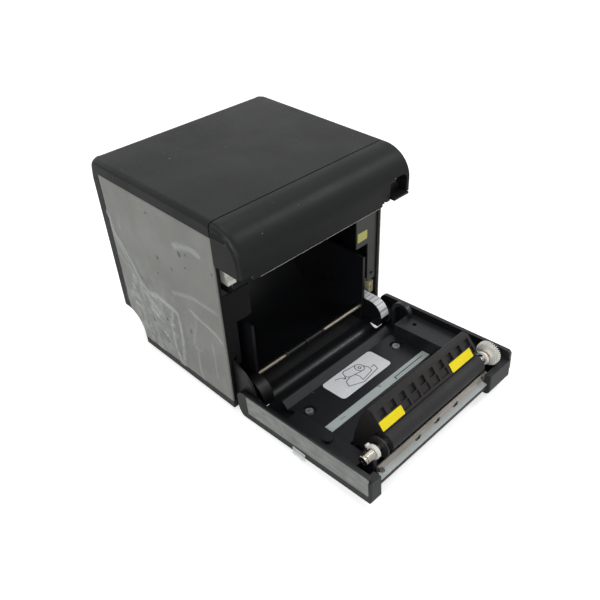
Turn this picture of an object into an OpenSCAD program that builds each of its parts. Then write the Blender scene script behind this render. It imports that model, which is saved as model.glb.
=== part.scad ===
// Front-opening receipt printer for 80 mm paper, shown with its front door let down.
// Millimetres. +Z up, the front faces -Y, the floor is Z = 0.
// The origin is the middle of the ground rectangle that the open printer covers.

/* [Case] */
// width of the case, side face to side face
case_w = 130; // [129:0.5:132]
// depth of the closed case, front face to back face
case_d = 129; // [128:0.5:131]
// height of the case above its feet
case_h = 126; // [125.5:0.5:128]
// thickness of the plastic covers
wall = 2.5; // [2.2:0.1:2.6]
// radius of the rounded front of the cap
cap_r = 18; // [14:1:20]
// radius of the long top edges
edge_r = 3; // [2:0.5:4]
// height that the rubber feet stand out
foot_h = 2.2; // [2.2:0.1:4]
// distance from the front face back to the seam behind cap and door
seam_set = 20.8; // [20.6:0.1:21.2]
// height of the dark rim below the side panels
rim_h = 5.2; // [4.6:0.2:5.6]
// dark margin between a side panel and the top face
panel_top = 8.5; // [7:0.5:10]
// dark margin between a side panel and the back face
panel_rear = 7.6; // [6.5:0.5:9]
// thickness of the grey side panels
panel_t = 0.8; // [0.6:0.1:1]
// thickness of the clear film left on the side panels
film_t = 0.15; // [0.1:0.05:0.3]

/* [Cap] */
// height of the lip of the cap above the case underside
lip_z = 98.4; // [98.2:0.1:99]
// height of the lower edge of the cap at its two ends
cap_side_z = 101.3; // [101.3:0.1:101.8]
// top of the finger recess above the case underside
pull_top = 112; // [111:0.5:114]
// left edge of the finger recess, from the middle of the printer
pull_x = 47.4; // [47.2:0.2:48.4]
// how far the blade of the cutter moves
blade_stroke = 6.5; // [5:0.5:7]

/* [Cable recess] */
// height of the recess over the sockets
recess_h = 22.3; // [21:0.5:24]
// depth of the recess over the sockets
recess_d = 18.8; // [17:0.5:20]
// radius of the rounded corner that the recess cuts in the side
notch_r = 14.3; // [10:0.5:15]

/* [Door] */
// height of the door hinge above the case underside
hinge_h = 6.2; // [6:0.1:6.6]
// distance of the door hinge behind the front face
hinge_set = 8; // [7.9:0.1:8.2]
// angle of the open door above level
open_tilt = 3.6; // [2:0.2:6]
// length of the door from its hinge to the end of its left corner
door_len = 94; // [93:0.2:94.1]
// length of the door from its hinge to the middle of its far edge
door_mid = 91.4; // [90.8:0.2:91.6]
// depth of the side walls of the door above the hinge
door_rise = 12; // [11.6:0.1:12.2]
// thickness of the outer wall of the door
skin = 2.5; // [2:0.25:2.6]
// half the width of the trough for the paper roll
trough_x = 46; // [45:0.25:46.4]
// height of the trough floor, measured from the hinge
trough_t = -3; // [-3.2:0.1:-2.6]
// height of the paper guide above the hinge
guide_t = 29; // [26:0.5:30]

/* [Platen] */
// radius of the rubber roller
platen_r = 5.8; // [5.6:0.1:6]
// length of the rubber roller
platen_len = 82.2; // [80:0.2:83]
// radius of the steel shaft in the roller
shaft_r = 2.1; // [1.9:0.1:2.2]
// radius of the bushes that carry the shaft
bush_r = 3.1; // [3:0.1:3.3]
// distance of the roller from the hinge along the door
platen_l = 83.6; // [83.4:0.1:83.8]
// height of the roller axis above the hinge
platen_t = 12.45; // [12.3:0.05:12.6]
// module of the gears: pitch diameter over number of teeth
tooth_m = 0.35; // [0.34:0.005:0.355]
// number of teeth of the roller gear and the idlers
gear_n = 42; // [41:1:43]
// number of teeth of the motor pinion
pinion_n = 20; // [20:1:22]
// radial play of every turning fit
fit = 0.05; // [0.03:0.01:0.09]

/* [Roll support] */
// radius of the steel rod in front of the roll bay
rod_r = 1.1; // [0.9:0.1:1.3]
// radius of the loose sleeve on the rod
sleeve_r = 1.8; // [1.6:0.1:2.2]
// radius of the rounded cheeks at the ends of the rod
cheek_r = 10.3; // [10:0.1:10.4]
// radius of the roll bay
bay_r = 41; // [40:0.5:42]

/* [Hidden] */
$fn = 72;

// ground and case planes
z0 = foot_h;
zt = z0 + case_h;
half_w = case_w / 2;
in_x = half_w - wall;
slack = 0.3;
bite = 1;
door_edge_r = 1.6;
open_front = (door_len - door_edge_r) * cos(open_tilt) + (hinge_set + 0.1 - door_edge_r) * sin(open_tilt)
  + door_edge_r - hinge_set;
front_y = (open_front - case_d) / 2;
back_y = front_y + case_d;
function tip_radius(n) = tooth_m * (n / 2 + 0.9);
gear_r = tip_radius(gear_n);
seam_y = front_y + seam_set;
hinge_y = front_y + hinge_set;
hinge_z = z0 + hinge_h;
skin_out = hinge_set + 0.1;
skin_in = skin_out - skin;
recess_y = back_y - recess_d;
notch_y = back_y - recess_d + notch_r;
notch_z = z0 + recess_h - notch_r;

// placing helpers: solid boxes and rods by their end coordinates
module box(x0, x1, y0, y1, za, zb) {
  translate([x0, y0, za]) cube([x1 - x0, y1 - y0, zb - za]);
}
module x_rod(r, x0, x1, y, z) {
  translate([x0, y, z]) rotate([0, 90, 0]) cylinder(h = x1 - x0, r = r);
}
module z_rod(r, x, y, za, zb) {
  translate([x, y, za]) cylinder(h = zb - za, r = r);
}
module y_rod(r, x, y0, y1, z) {
  translate([x, y1, z]) rotate([90, 0, 0]) cylinder(h = y1 - y0, r = r);
}
// a plate cut to a (y, z) outline, from x0 to x1
module yz_plate(x0, x1) {
  translate([x0, 0, 0]) rotate([90, 0, 90]) linear_extrude(height = x1 - x0) children();
}
// a plate cut to an (x, z) outline, from y0 to y1
module xz_plate(y0, y1) {
  translate([0, y1, 0]) rotate([90, 0, 0]) linear_extrude(height = y1 - y0) children();
}
// rectangle with four round corners
module round_rect(u0, u1, v0, v1, r) {
  translate([u0 + r, v0]) square([u1 - u0 - 2 * r, v1 - v0]);
  translate([u0, v0 + r]) square([u1 - u0, v1 - v0 - 2 * r]);
  for (u = [u0 + r, u1 - r], v = [v0 + r, v1 - r]) translate([u, v]) circle(r = r);
}
// both sides of the printer
module both() {
  children();
  mirror([1, 0, 0]) children();
}
// the frame of the open door: x across, -y away from the hinge, z up from the hinge
module on_door() {
  translate([0, hinge_y, hinge_z]) rotate([-open_tilt, 0, 0]) children();
}
module d_box(x0, x1, l0, l1, t0, t1) {
  translate([x0, -l1, t0]) cube([x1 - x0, l1 - l0, t1 - t0]);
}
module d_rod(r, x0, x1, l, t) {
  translate([x0, -l, t]) rotate([0, 90, 0]) cylinder(h = x1 - x0, r = r);
}
// an (l, t) outline of the door, from x0 to x1
module d_plate(x0, x1) {
  translate([x1, 0, 0]) rotate([90, 0, -90]) linear_extrude(height = x1 - x0) children();
}
// outline of a gear: teeth that narrow from root to tip, the first one turned by turn
module teeth(n, turn = 0) {
  step = 360 / n;
  tip = tip_radius(n);
  root = tip - 2.0 * tooth_m;
  polygon([for (i = [0 : n - 1]) for (k = [[-0.32, root], [-0.14, tip], [0.14, tip], [0.32, root]])
    [k[1] * cos((i + k[0]) * step + turn), k[1] * sin((i + k[0]) * step + turn)]]);
}
module x_gear(n, y, z, turn) {
  translate([0, y, z]) yz_plate(gear_x0, gear_x1) teeth(n, turn);
}

// the shape that the cable recess takes from every rear part
module recess_cut() {
  box(-half_w - bite, half_w + bite, notch_y, back_y + bite, z0 - bite, z0 + recess_h);
  box(-half_w - bite, half_w + bite, recess_y, back_y + bite, z0 - bite, notch_z);
  x_rod(notch_r, -half_w - bite, half_w + bite, notch_y, notch_z);
}

// ---------------------------------------------------------------- case
floor_t = 2.5;
tongue_x = in_x - 0.7;
tongue_y = hinge_y + skin_out + 0.5;
lug_x1 = in_x - 2.9;
lug_x0 = lug_x1 - 3;
lug_r = 5;
pin_r = 2;
foot_r = 7;
foot_in = 12;
vent_w = 2;
vent_n = 6;
module bottom_case() color("#1c1d1f") {
  difference() {
    union() {
      box(-half_w, half_w, seam_y, recess_y - slack, z0, z0 + floor_t);
      box(-tongue_x, tongue_x, tongue_y, seam_y + bite, z0, z0 + floor_t);
      both() box(in_x, half_w, seam_y, recess_y - slack, z0, z0 + rim_h);
      both() box(lug_x0, lug_x1, tongue_y, seam_y + bite, z0, hinge_z + lug_r);
      both() box(lug_x0, lug_x1, hinge_y, tongue_y + bite, hinge_z + slack, hinge_z + lug_r);
      both() x_rod(lug_r, lug_x0, lug_x1, hinge_y, hinge_z);
    }
    both() x_rod(pin_r, lug_x0 - bite, lug_x1 + bite, hinge_y, hinge_z);
    for (i = [0 : vent_n - 1]) box(-20, 20, 8 + front_y + case_d / 2 + i * 2.5 * vent_w,
      8 + front_y + case_d / 2 + i * 2.5 * vent_w + vent_w, z0 - bite, z0 + floor_t + bite);
  }
}

module rubber_feet() color("#2a2a2b") {
  for (y = [seam_y + foot_in, recess_y - foot_in]) both() difference() {
    z_rod(foot_r, half_w - foot_in, y, 0, z0);
    z_rod(foot_r / 2, half_w - foot_in, y, -bite, z0 / 2);
  }
}

cap_seam = zt - 12;
module case_block(y0, y1) {
  xz_plate(y0, y1) {
    round_rect(-half_w, half_w, zt - 20, zt, edge_r);
    translate([-half_w, z0]) square([case_w, case_h - 15]);
  }
}
module top_cover() color("#2b2c2e") {
  difference() {
    case_block(seam_y, back_y);
    box(-in_x, in_x, seam_y - bite, back_y - wall, z0 - bite, zt - wall);
    box(-half_w - bite, half_w + bite, seam_y - bite, back_y + bite, z0 - bite, z0 + rim_h);
    both() box(half_w - panel_t, half_w + bite, seam_y - bite, back_y - panel_rear, z0, zt - panel_top);
    box(-half_w - bite, half_w + bite, back_y - panel_rear + slack, back_y + bite, z0, cap_seam);
    // round the back edge of the top
    difference() {
      box(-half_w - bite, half_w + bite, back_y - edge_r, back_y + bite, zt - edge_r, zt + bite);
      x_rod(edge_r, -half_w - 2 * bite, half_w + 2 * bite, back_y - edge_r, zt - edge_r);
    }
    recess_cut();
  }
}

shelf_t = 2;
module rear_cover() color("#27282a") {
  rear_in = back_y - panel_rear + 2 * slack;
  difference() {
    union() {
      box(-half_w, half_w, back_y - wall, back_y, z0 + recess_h - bite, cap_seam - slack);
      both() box(in_x, half_w, rear_in, back_y, z0 + recess_h - bite, cap_seam - slack);
      box(-in_x + slack, in_x - slack, recess_y - 2 * shelf_t, back_y, z0 + recess_h, z0 + recess_h + shelf_t);
    }
    recess_cut();
    // vent slots high on the back
    for (i = [0 : vent_n]) box(-30 + i * 10 - vent_w / 2, -30 + i * 10 + vent_w / 2, back_y - wall - bite,
      back_y + bite, zt - 40, zt - 22);
  }
}

module panel_outline(inset) {
  difference() {
    translate([seam_y + inset, z0 + rim_h + 0.15 + inset])
      square([case_d - seam_set - panel_rear - 2 * inset, case_h - rim_h - 0.15 - panel_top - 2 * inset]);
    translate([notch_y, notch_z]) circle(r = notch_r + inset);
    translate([notch_y, z0 - bite]) square([recess_d, recess_h + bite + inset]);
    translate([recess_y - inset, z0 - bite]) square([recess_d, notch_z - z0 + bite]);
  }
}
module side_panel_left() color("#8d9089") {
  yz_plate(-half_w, -half_w + panel_t) panel_outline(0);
}
module side_panel_right() color("#8d9089") {
  yz_plate(half_w - panel_t, half_w) panel_outline(0);
}
film_in = 0.5;
module side_film_left() color("#d8dcd6", 0.35) {
  yz_plate(-half_w - film_t, -half_w) panel_outline(film_in);
}
module side_film_right() color("#d8dcd6", 0.35) {
  yz_plate(half_w, half_w + film_t) panel_outline(film_in);
}

// ---------------------------------------------------------------- cap over the paper exit
cap_back = seam_y - slack;
cap_edge_r = 3;
corner_x = lug_x0 - 0.1;
block_x = platen_len / 2 + 1.4;
inlay_set = 7.9;
inlay_r = 5;
pull_r = 4;
pull_d = 7.5;
// the closed door reaches half a millimetre below this height
pull_foot = 100;
module cap_block() {
  difference() {
    intersection() {
      case_block(front_y, cap_back);
      translate([0, 0, z0]) linear_extrude(height = case_h)
        round_rect(-half_w, half_w, front_y, cap_back + 2 * cap_edge_r, cap_edge_r);
    }
    box(-half_w - bite, half_w + bite, front_y - bite, cap_back + bite, z0 - bite, z0 + lip_z);
    difference() {
      box(-half_w - bite, half_w + bite, front_y - bite, front_y + cap_r, zt - cap_r, zt + bite);
      x_rod(cap_r, -half_w - 2 * bite, half_w + 2 * bite, front_y + cap_r, zt - cap_r);
    }
  }
}
module cap_hollow() {
  in_r = cap_r - wall;
  box(-in_x, in_x, front_y + cap_r, cap_back + bite, z0, zt - wall);
  box(-in_x, in_x, front_y + wall, front_y + cap_r + bite, z0, zt - cap_r);
  x_rod(in_r, -in_x, in_x, front_y + cap_r, zt - cap_r);
}
module inlay_outline(y1) {
  difference() {
    translate([front_y + inlay_set, z0 + cap_side_z + 0.2])
      square([seam_set - inlay_set - slack, case_h - panel_top - cap_side_z - 0.2]);
    translate([front_y + inlay_set, zt - panel_top]) difference() {
      translate([-bite, -inlay_r]) square([inlay_r + bite, inlay_r + bite]);
      translate([inlay_r, -inlay_r]) circle(r = inlay_r);
    }
  }
}
module front_cap() color("#2b2c2e") {
  difference() {
    cap_block();
    cap_hollow();
    box(-half_w - bite, -corner_x, front_y - bite, cap_back + bite, z0, z0 + cap_side_z);
    yz_plate(block_x - 1.5, half_w + bite) {
      translate([front_y - bite, z0]) square([cap_back - front_y + 2 * bite, pull_foot]);
      translate([front_y + pull_d, z0]) square([cap_back - front_y - pull_d + bite, cap_side_z]);
    }
    both() yz_plate(half_w - panel_t, half_w + bite) inlay_outline();
    // finger recess
    xz_plate(front_y - bite, front_y + 2 * wall) {
      round_rect(pull_x, in_x, z0 + lip_z - pull_r, z0 + pull_top, pull_r);
      translate([pull_x, z0 + lip_z - bite]) square([in_x - pull_x, pull_r]);
    }
    // notch for the catch, beside the recess
    box(block_x + 0.2, block_x + 1.6, front_y - bite, front_y + wall + bite, z0, z0 + pull_foot + 1.2);
  }
  // cheek that closes the left side of the recess
  difference() {
    box(pull_x - 2.2, pull_x - 1, front_y + wall - 0.2, front_y + wall + 1.6, z0 + cap_side_z + 0.4, z0 + pull_top + 1);
    box(pull_x - 3, pull_x, front_y, front_y + 2, z0, zt);
  }
}
module cap_inlay_left() color("#8d9089") {
  yz_plate(-half_w, -half_w + panel_t) inlay_outline();
}
module cap_inlay_right() color("#8d9089") {
  yz_plate(half_w - panel_t, half_w) inlay_outline();
}
strip_t = 0.35;
module exit_strip() color("#b9b6ae") {
  box(-52, 39, front_y + 0.2, front_y + wall + 3, z0 + lip_z - strip_t, z0 + lip_z);
  box(-52, 39, front_y + wall, front_y + wall + strip_t, z0 + lip_z, z0 + lip_z + 5);
}

// ---------------------------------------------------------------- sockets at the back
plate_t = 1.2;
panel_y = recess_y - plate_t;
panel_z = z0 + floor_t;
sock_z = z0 + 5;
module socket_hole(x, w, h) {
  box(x - w / 2, x + w / 2, panel_y - bite, recess_y + bite, sock_z, sock_z + h);
}
inlet_w = 13;
inlet_h = 13;
usb_w = 12;
usb_h = 11;
lan_w = 16;
lan_h = 13.4;
jack_w = 14;
jack_h = 12;
inlet_x = -in_x + 22.5;
usb_x = -12;
lan_x = 12;
jack_x = in_x - 24.5;
module connector_panel() color("#9a9c9c") {
  difference() {
    box(-in_x + slack, in_x - slack, panel_y, recess_y, panel_z, z0 + recess_h);
    socket_hole(inlet_x, inlet_w, inlet_h);
    socket_hole(usb_x, usb_w, usb_h);
    socket_hole(lan_x, lan_w, lan_h);
    socket_hole(jack_x, jack_w, jack_h);
  }
}
sock_d = 14;
module socket_body(x, w, h, lip) {
  box(x - w / 2, x + w / 2, recess_y - sock_d, recess_y + lip, sock_z, sock_z + h);
}
module power_inlet() color("#1f1f20") {
  difference() {
    socket_body(inlet_x, inlet_w, inlet_h, 1.5);
    y_rod(inlet_w / 2 - 1.2, inlet_x, recess_y - 8, recess_y + 3, sock_z + inlet_h / 2);
  }
  for (a = [90, 210, 330]) y_rod(0.7, inlet_x + 2.4 * cos(a), recess_y - 9, recess_y, sock_z + inlet_h / 2 + 2.4 * sin(a));
}
module usb_port() color("#b4b6b6") {
  difference() {
    socket_body(usb_x, usb_w, usb_h, 1);
    box(usb_x - 4.2, usb_x + 4.2, recess_y - 9, recess_y + 3, sock_z + 1.6, sock_z + 9.4);
  }
  box(usb_x - 2.8, usb_x + 2.8, recess_y - 10, recess_y - 0.5, sock_z + 4, sock_z + 7.2);
}
module lan_port() color("#a9abab") {
  difference() {
    socket_body(lan_x, lan_w, lan_h, 1);
    box(lan_x - 6, lan_x + 6, recess_y - 10, recess_y + 3, sock_z + 2, sock_z + 8.8);
    box(lan_x - 3.2, lan_x + 3.2, recess_y - 10, recess_y + 3, sock_z + 1.2, sock_z + 11.4);
  }
}
module drawer_port() color("#242425") {
  difference() {
    socket_body(jack_x, jack_w, jack_h, 1);
    box(jack_x - 4.9, jack_x + 4.9, recess_y - 10, recess_y + 3, sock_z + 2, sock_z + 8.4);
    box(jack_x - 2.2, jack_x + 2.2, recess_y - 10, recess_y + 3, sock_z + 1.2, sock_z + 10.4);
  }
}

// ---------------------------------------------------------------- inside the case
bay_y = front_y + 50.5;
bay_z = z0 + 45;
bay_t = 2;
bay_front = front_y + 18.4;
bay_top = z0 + 53;
bay_back_top = z0 + 88;
flap_y0 = front_y + 37;
flap_y1 = front_y + 55;
flap_z0 = z0 + 20.5;
flap_z1 = z0 + 28;
flap_pin_r = 0.7;
flap_x = trough_x + bay_t / 2;
module roll_bay() color("#191a1b") {
  out_x = trough_x + bay_t;
  difference() {
    union() {
      // the curved floor and its back wall
      difference() {
        x_rod(bay_r + bay_t, -out_x, out_x, bay_y, bay_z);
        box(-out_x - bite, out_x + bite, seam_y - 40, back_y, bay_z, zt);
        box(-out_x - bite, out_x + bite, seam_y - 60, seam_y + 3, z0 - bite, zt);
      }
      box(-out_x, out_x, bay_y + bay_r, bay_y + bay_r + bay_t, bay_z, bay_back_top);
      // side walls
      both() box(trough_x, out_x, bay_front, bay_y + bay_r + bay_t, z0 + floor_t, bay_top);
      // ledge across the floor
      box(-out_x, out_x, bay_y - 4, bay_y + 6, z0 + floor_t, z0 + 5.6);
    }
    intersection() {
      x_rod(bay_r, -trough_x, trough_x, bay_y, bay_z);
      box(-out_x, out_x, seam_y - 40, back_y, z0, bay_z);
    }
    box(-out_x - bite, out_x + bite, seam_y - 60, back_y, z0 - bite, z0 + floor_t);
    x_rod(rod_r + slack, -out_x - bite, out_x + bite, rod_y, rod_z);
    // window and pin holes of the near-end flap
    box(trough_x - bite, out_x + bite, flap_y0, flap_y1, flap_z0 - 0.5, flap_z1 + 0.6);
    y_rod(flap_pin_r + fit, flap_x, flap_y0 - 2, flap_y1 + 2, flap_z1 - 1);
  }
  // shelf behind the bay that carries the board
  box(-out_x, out_x, bay_y + bay_r + bay_t, board_y, bay_back_top - 3, bay_back_top);
}
module end_flap() color("#3a3b3c") {
  box(flap_x - 0.5, flap_x + 0.5, flap_y0 + slack, flap_y1 - slack, flap_z0, flap_z1 - 1);
  y_rod(flap_pin_r, flap_x, flap_y0 - 1.7, flap_y1 + 1.7, flap_z1 - 1);
  box(flap_x - 2.6, flap_x, flap_y0 + 5, flap_y1 - 5, flap_z0 + 1, flap_z0 + 2.2);
}

board_y = front_y + 101;
board_t = 1.6;
module main_board() color("#1f5b3a") {
  box(-46, 46, board_y, board_y + board_t, z0 + 28, z0 + 108);
  box(-20, -4, board_y + board_t, board_y + board_t + 1.5, z0 + 60, z0 + 76);
  box(8, 18, board_y + board_t, board_y + board_t + 2, z0 + 48, z0 + 58);
  for (x = [-36, -27]) y_rod(3, x, board_y + board_t - 0.1, board_y + board_t + 8, z0 + 92);
  box(-8, 30, board_y - 4, board_y, z0 + 98, z0 + 102);
}

// steel flanges behind the seam, clear of the guide block and the roller gear of the closed door
flange_y = seam_y + 1.2;
flange_t = 0.8;
flange_top = z0 + 79;
flange_foot = z0 + 29;
flange_bar = 20.4;
strip_w = 8;
module wall_plate_right() color("#8f9293") {
  xz_plate(flange_y, flange_y + flange_t) difference() {
    union() {
      translate([in_x - strip_w, flange_foot]) square([strip_w, flange_top - flange_foot]);
      translate([block_x + 1.2, flange_top - flange_bar]) square([in_x - block_x - 1.2, flange_bar]);
    }
    translate([in_x - strip_w / 2, flange_foot + 5]) circle(r = 1.3);
  }
}
module wall_plate_left() color("#2a2b2c") {
  mirror([1, 0, 0]) wall_plate_right();
}
module cable_clip() color("#d9d4c0") {
  difference() {
    box(in_x - 3.9, in_x, seam_y + 2.8, seam_y + 7.8, z0 + 16, z0 + 25);
    box(in_x - 2.9, in_x - 1.3, seam_y, seam_y + 9, z0 + 18, z0 + 22);
  }
}

// ---------------------------------------------------------------- print head and its steel frame
fr_x0 = platen_len / 2 + 9.2;
fr_x1 = fr_x0 + 1;
fr_front = front_y + 27;
latch_y = front_y + 6;
latch_z = z0 + 108;
latch_r = 1.5;
closed_y = hinge_y + platen_t;
closed_z = hinge_z + platen_l;
flange_x = fr_x1 + 0.7;
gear_x0 = flange_x + 1.2;
gear_x1 = gear_x0 + 3.8;
// the roller gear stops this far from the idler, so that the door can close in any turn of the roller
stand_off = 0.4;
rise_a = 50;
post_r = 1.5;
motor_y = front_y + 53.8;
motor_z = zt - 20;
motor_r = 12;
reach_a = 2 * gear_r + stand_off;
front_idler = [closed_y + reach_a * cos(rise_a), closed_z + reach_a * sin(rise_a)];
to_motor = [motor_y - front_idler[0], motor_z - front_idler[1]];
span = norm(to_motor);
reach_b = tooth_m * gear_n;
reach_c = tooth_m * (gear_n + pinion_n) / 2;
// the rear idler sits where both of its centre distances come out right
mid_u = (reach_b * reach_b - reach_c * reach_c + span * span) / (2 * span);
mid_v = sqrt(max(0, reach_b * reach_b - mid_u * mid_u));
rear_idler = front_idler + mid_u * to_motor / span + mid_v * [-to_motor[1], to_motor[0]] / span;
// turns that put the teeth of each gear in the gaps of the one before
aim_rear = atan2(rear_idler[1] - front_idler[1], rear_idler[0] - front_idler[0]);
turn_rear = 2 * aim_rear + 180 - 180 / gear_n;
aim_pinion = atan2(motor_z - rear_idler[1], motor_y - rear_idler[0]);
turn_pinion = aim_pinion + 180 - gear_n / pinion_n * (turn_rear - aim_pinion) - 180 / pinion_n;
head_w = platen_len / 2 - 0.1;
head_lean = 7.6;
head_gap = 0.4;
head_t = 5;
head_fore = 6;
head_aft = 9;
head_rod_r = 1.6;
frame_top = zt - 4;
module frame_side() {
  yz_plate(fr_x0, fr_x1) difference() {
    union() {
      translate([fr_front, closed_z - 17.8]) square([45, frame_top - closed_z + 17.8]);
      translate([latch_y - 2.6, latch_z - 2.6]) square([fr_front - latch_y + 3, 5.2]);
      translate([cut_y0, latch_z - 2.6]) square([fr_front - cut_y0 + 3, 13]);
    }
    translate([latch_y, latch_z]) circle(r = latch_r + fit);
    translate([motor_y, motor_z]) circle(r = 2.6);
  }
}
module head_frame() color("#8f9293") {
  both() frame_side();
  box(-fr_x1, fr_x1, fr_front + 8, fr_front + 44, frame_top - 1, frame_top);
  for (y = [fr_front + 14, fr_front + 38]) both() z_rod(3, fr_x0 - 10, y, frame_top, zt - wall);
  // posts of the two idlers
  for (p = [front_idler, rear_idler]) x_rod(post_r, fr_x1, gear_x1 + 1, p[0], p[1]);
}
// frame of the head: origin on the platen axis of the closed door, z away from the rubber
module at_head() {
  translate([0, closed_y, closed_z]) rotate([-head_lean, 0, 0]) children();
}
module print_head() color("#b7b9ba") {
  at_head() {
    base = platen_r + head_gap;
    difference() {
      translate([-head_w, -head_fore, base + 1]) cube([2 * head_w, head_fore + head_aft, head_t]);
      for (i = [0 : 2]) translate([-head_w - bite, -head_fore + 2 + i * 3.2, base + 3.4])
        cube([2 * head_w + 2 * bite, 1.4, head_t]);
    }
    translate([-head_w + 1, 1 - head_fore, base]) cube([2 * head_w - 2, head_fore + 2, 1]);
    translate([-fr_x0, head_aft - 2.2, base + 4.4]) rotate([0, 90, 0]) cylinder(h = 2 * fr_x0, r = head_rod_r);
  }
}
seat_front = closed_y + bush_r + 0.5;
module bearing_seat(x0, x1) {
  difference() {
    box(x0, x1, seat_front - 2, seat_front + 4, closed_z - 6, closed_z + 5);
    x_rod(bush_r + 0.5, x0 - bite, x1 + bite, closed_y, closed_z);
    box(x0 - bite, x1 + bite, closed_y - 10, seat_front, closed_z - 2, closed_z + 10);
  }
}
module bearing_seats() color("#e6e6df") {
  bearing_seat(-fr_x1 - 5.7, -fr_x1);
  bearing_seat(fr_x0 - 1.4, fr_x0);
}

// the blade hangs just behind the edge of the tear plate of the closed door, clear of the roller
tear_t = 1.5;
roller_reach = norm([platen_l, platen_t]);
blade_gap = 0.3;
blade_t = 0.8;
blade_y = hinge_y + tear_t + blade_gap;
blade_half = platen_len / 2 + 0.4;
blade_z = hinge_z + roller_reach + platen_r + 0.4;
cut_x = blade_half + 4.1;
cut_y0 = blade_y - 1.8;
cut_y1 = blade_y + 3.4;
cut_z0 = closed_z + platen_r + 4.8;
cut_z1 = zt - wall - 4.5;
module cutter_housing() color("#3b3c3d") {
  difference() {
    union() {
      box(-cut_x, cut_x, cut_y0, cut_y1, cut_z0, cut_z1);
      box(-fr_x0, fr_x0, cut_y0, cut_y1, latch_z + 4.5, cut_z1);
    }
    box(-blade_half - 0.2, blade_half + 0.2, blade_y - 0.1, blade_y + blade_t + 0.1, cut_z0 - bite, cut_z1 - 1.6);
  }
  y_rod(5, -30, cut_y1 - 0.5, cut_y1 + 10, cut_z1 - 5);
}
module cutter_blade() color("#c3c5c6") {
  xz_plate(blade_y, blade_y + blade_t) polygon([[-blade_half, blade_z], [0, blade_z + 1], [blade_half, blade_z],
    [blade_half, cut_z1 - 6], [-blade_half, cut_z1 - 6]]);
}
module drive_motor() color("#a6a8a9") {
  difference() {
    union() {
      x_rod(motor_r, 28, fr_x0 - 1, motor_y, motor_z);
      x_rod(motor_r + 0.8, fr_x0 - 1, fr_x0, motor_y, motor_z);
    }
    x_rod(1 + fit, 44, fr_x0 + bite, motor_y, motor_z);
  }
}
module motor_pinion() color("#c9b27a") {
  x_gear(pinion_n, motor_y, motor_z, turn_pinion);
  x_rod(1, 44.5, gear_x1 + 0.5, motor_y, motor_z);
}
module idler(p, turn) {
  difference() {
    x_gear(gear_n, p[0], p[1], turn);
    x_rod(post_r + fit, gear_x0 - bite, gear_x1 + bite, p[0], p[1]);
  }
}
module idler_front() color("#e2e2da") {
  idler(front_idler, 0);
}
module idler_rear() color("#e2e2da") {
  idler(rear_idler, turn_rear);
}

// ---------------------------------------------------------------- support rod in front of the roll bay
cheek_y = front_y + 13.7;
cheek_z = z0 + 9.6;
cheek_x1 = lug_x0 - 0.6;
cheek_x0 = trough_x + 2.3;
rod_y = front_y + 20.7;
rod_z = z0 + 14;
guard_x1 = in_x - 0.8;
guard_x0 = guard_x1 - 1.5;
guard_r = 20;
guard_y = front_y + 23.3;
guard_z = z0 + 14;
module rod_cheeks() color("#222325") {
  difference() {
    union() {
      both() x_rod(cheek_r, cheek_x0, cheek_x1, cheek_y, cheek_z);
      both() box(cheek_x0 + 1, cheek_x1, cheek_y, seam_y + 8, z0 + floor_t, cheek_z + 4);
      // curved guard plate at the left
      x_rod(guard_r, -guard_x1, -guard_x0, guard_y, guard_z);
      x_rod(guard_r - 2.4, -guard_x0, -guard_x0 + 1, guard_y, guard_z);
    }
    box(-half_w, half_w, front_y - 20, back_y, z0 - 20, z0 + floor_t);
    box(-half_w, -cheek_x1 - 0.3, seam_y + 6, back_y, z0, zt);
    x_rod(skin_out + 0.4, -guard_x1 - bite, -cheek_x1 - 0.2, hinge_y, hinge_z);
    box(-half_w, -guard_x0 + 2, seam_y + 0.9, back_y, z0 + 28.7, zt);
    box(-lug_x1 - 0.4, -lug_x0 + 0.4, hinge_y, seam_y + 8, z0, hinge_z + lug_r + 0.5);
    both() x_rod(rod_r, cheek_x0 - bite, cheek_x0 + 4, rod_y, rod_z);
  }
}
sleeve_x0 = -22.5;
sleeve_x1 = 10.7;
sleeve_xm = -5.7;
collar_w = 1.6;
module support_rod() color("#cfd0d0") {
  x_rod(rod_r, -cheek_x0 - 3.8, cheek_x0 + 3.8, rod_y, rod_z);
}
module support_sleeve() color("#3a3b3d") {
  difference() {
    union() {
      x_rod(sleeve_r, sleeve_x0, sleeve_x1, rod_y, rod_z);
      for (x = [sleeve_x0, sleeve_xm, sleeve_x1 - collar_w])
        x_rod(sleeve_r + 0.6, x, x + collar_w, rod_y, rod_z);
    }
    x_rod(rod_r + fit, sleeve_x0 - bite, sleeve_x1 + bite, rod_y, rod_z);
  }
}

// flat cable: over the right cheek and up the wall of the bay
flex_x0 = cheek_x0 + 0.1;
flex_x1 = flex_x0 + 7;
flex_t = 0.3;
module flat_cable() color("#e9ebec") {
  difference() {
    x_rod(cheek_r + flex_t, flex_x0, flex_x1, cheek_y, cheek_z);
    x_rod(cheek_r, flex_x0 - bite, flex_x1 + bite, cheek_y, cheek_z);
    box(flex_x0 - bite, flex_x1 + bite, cheek_y, seam_y + 20, z0 - 5, zt);
    box(flex_x0 - bite, flex_x1 + bite, front_y - 10, seam_y + 20, z0 - 5, cheek_z - 4);
  }
  box(flex_x0, flex_x1, cheek_y - 0.01, seam_y + 14, cheek_z + cheek_r, cheek_z + cheek_r + flex_t);
}

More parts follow.
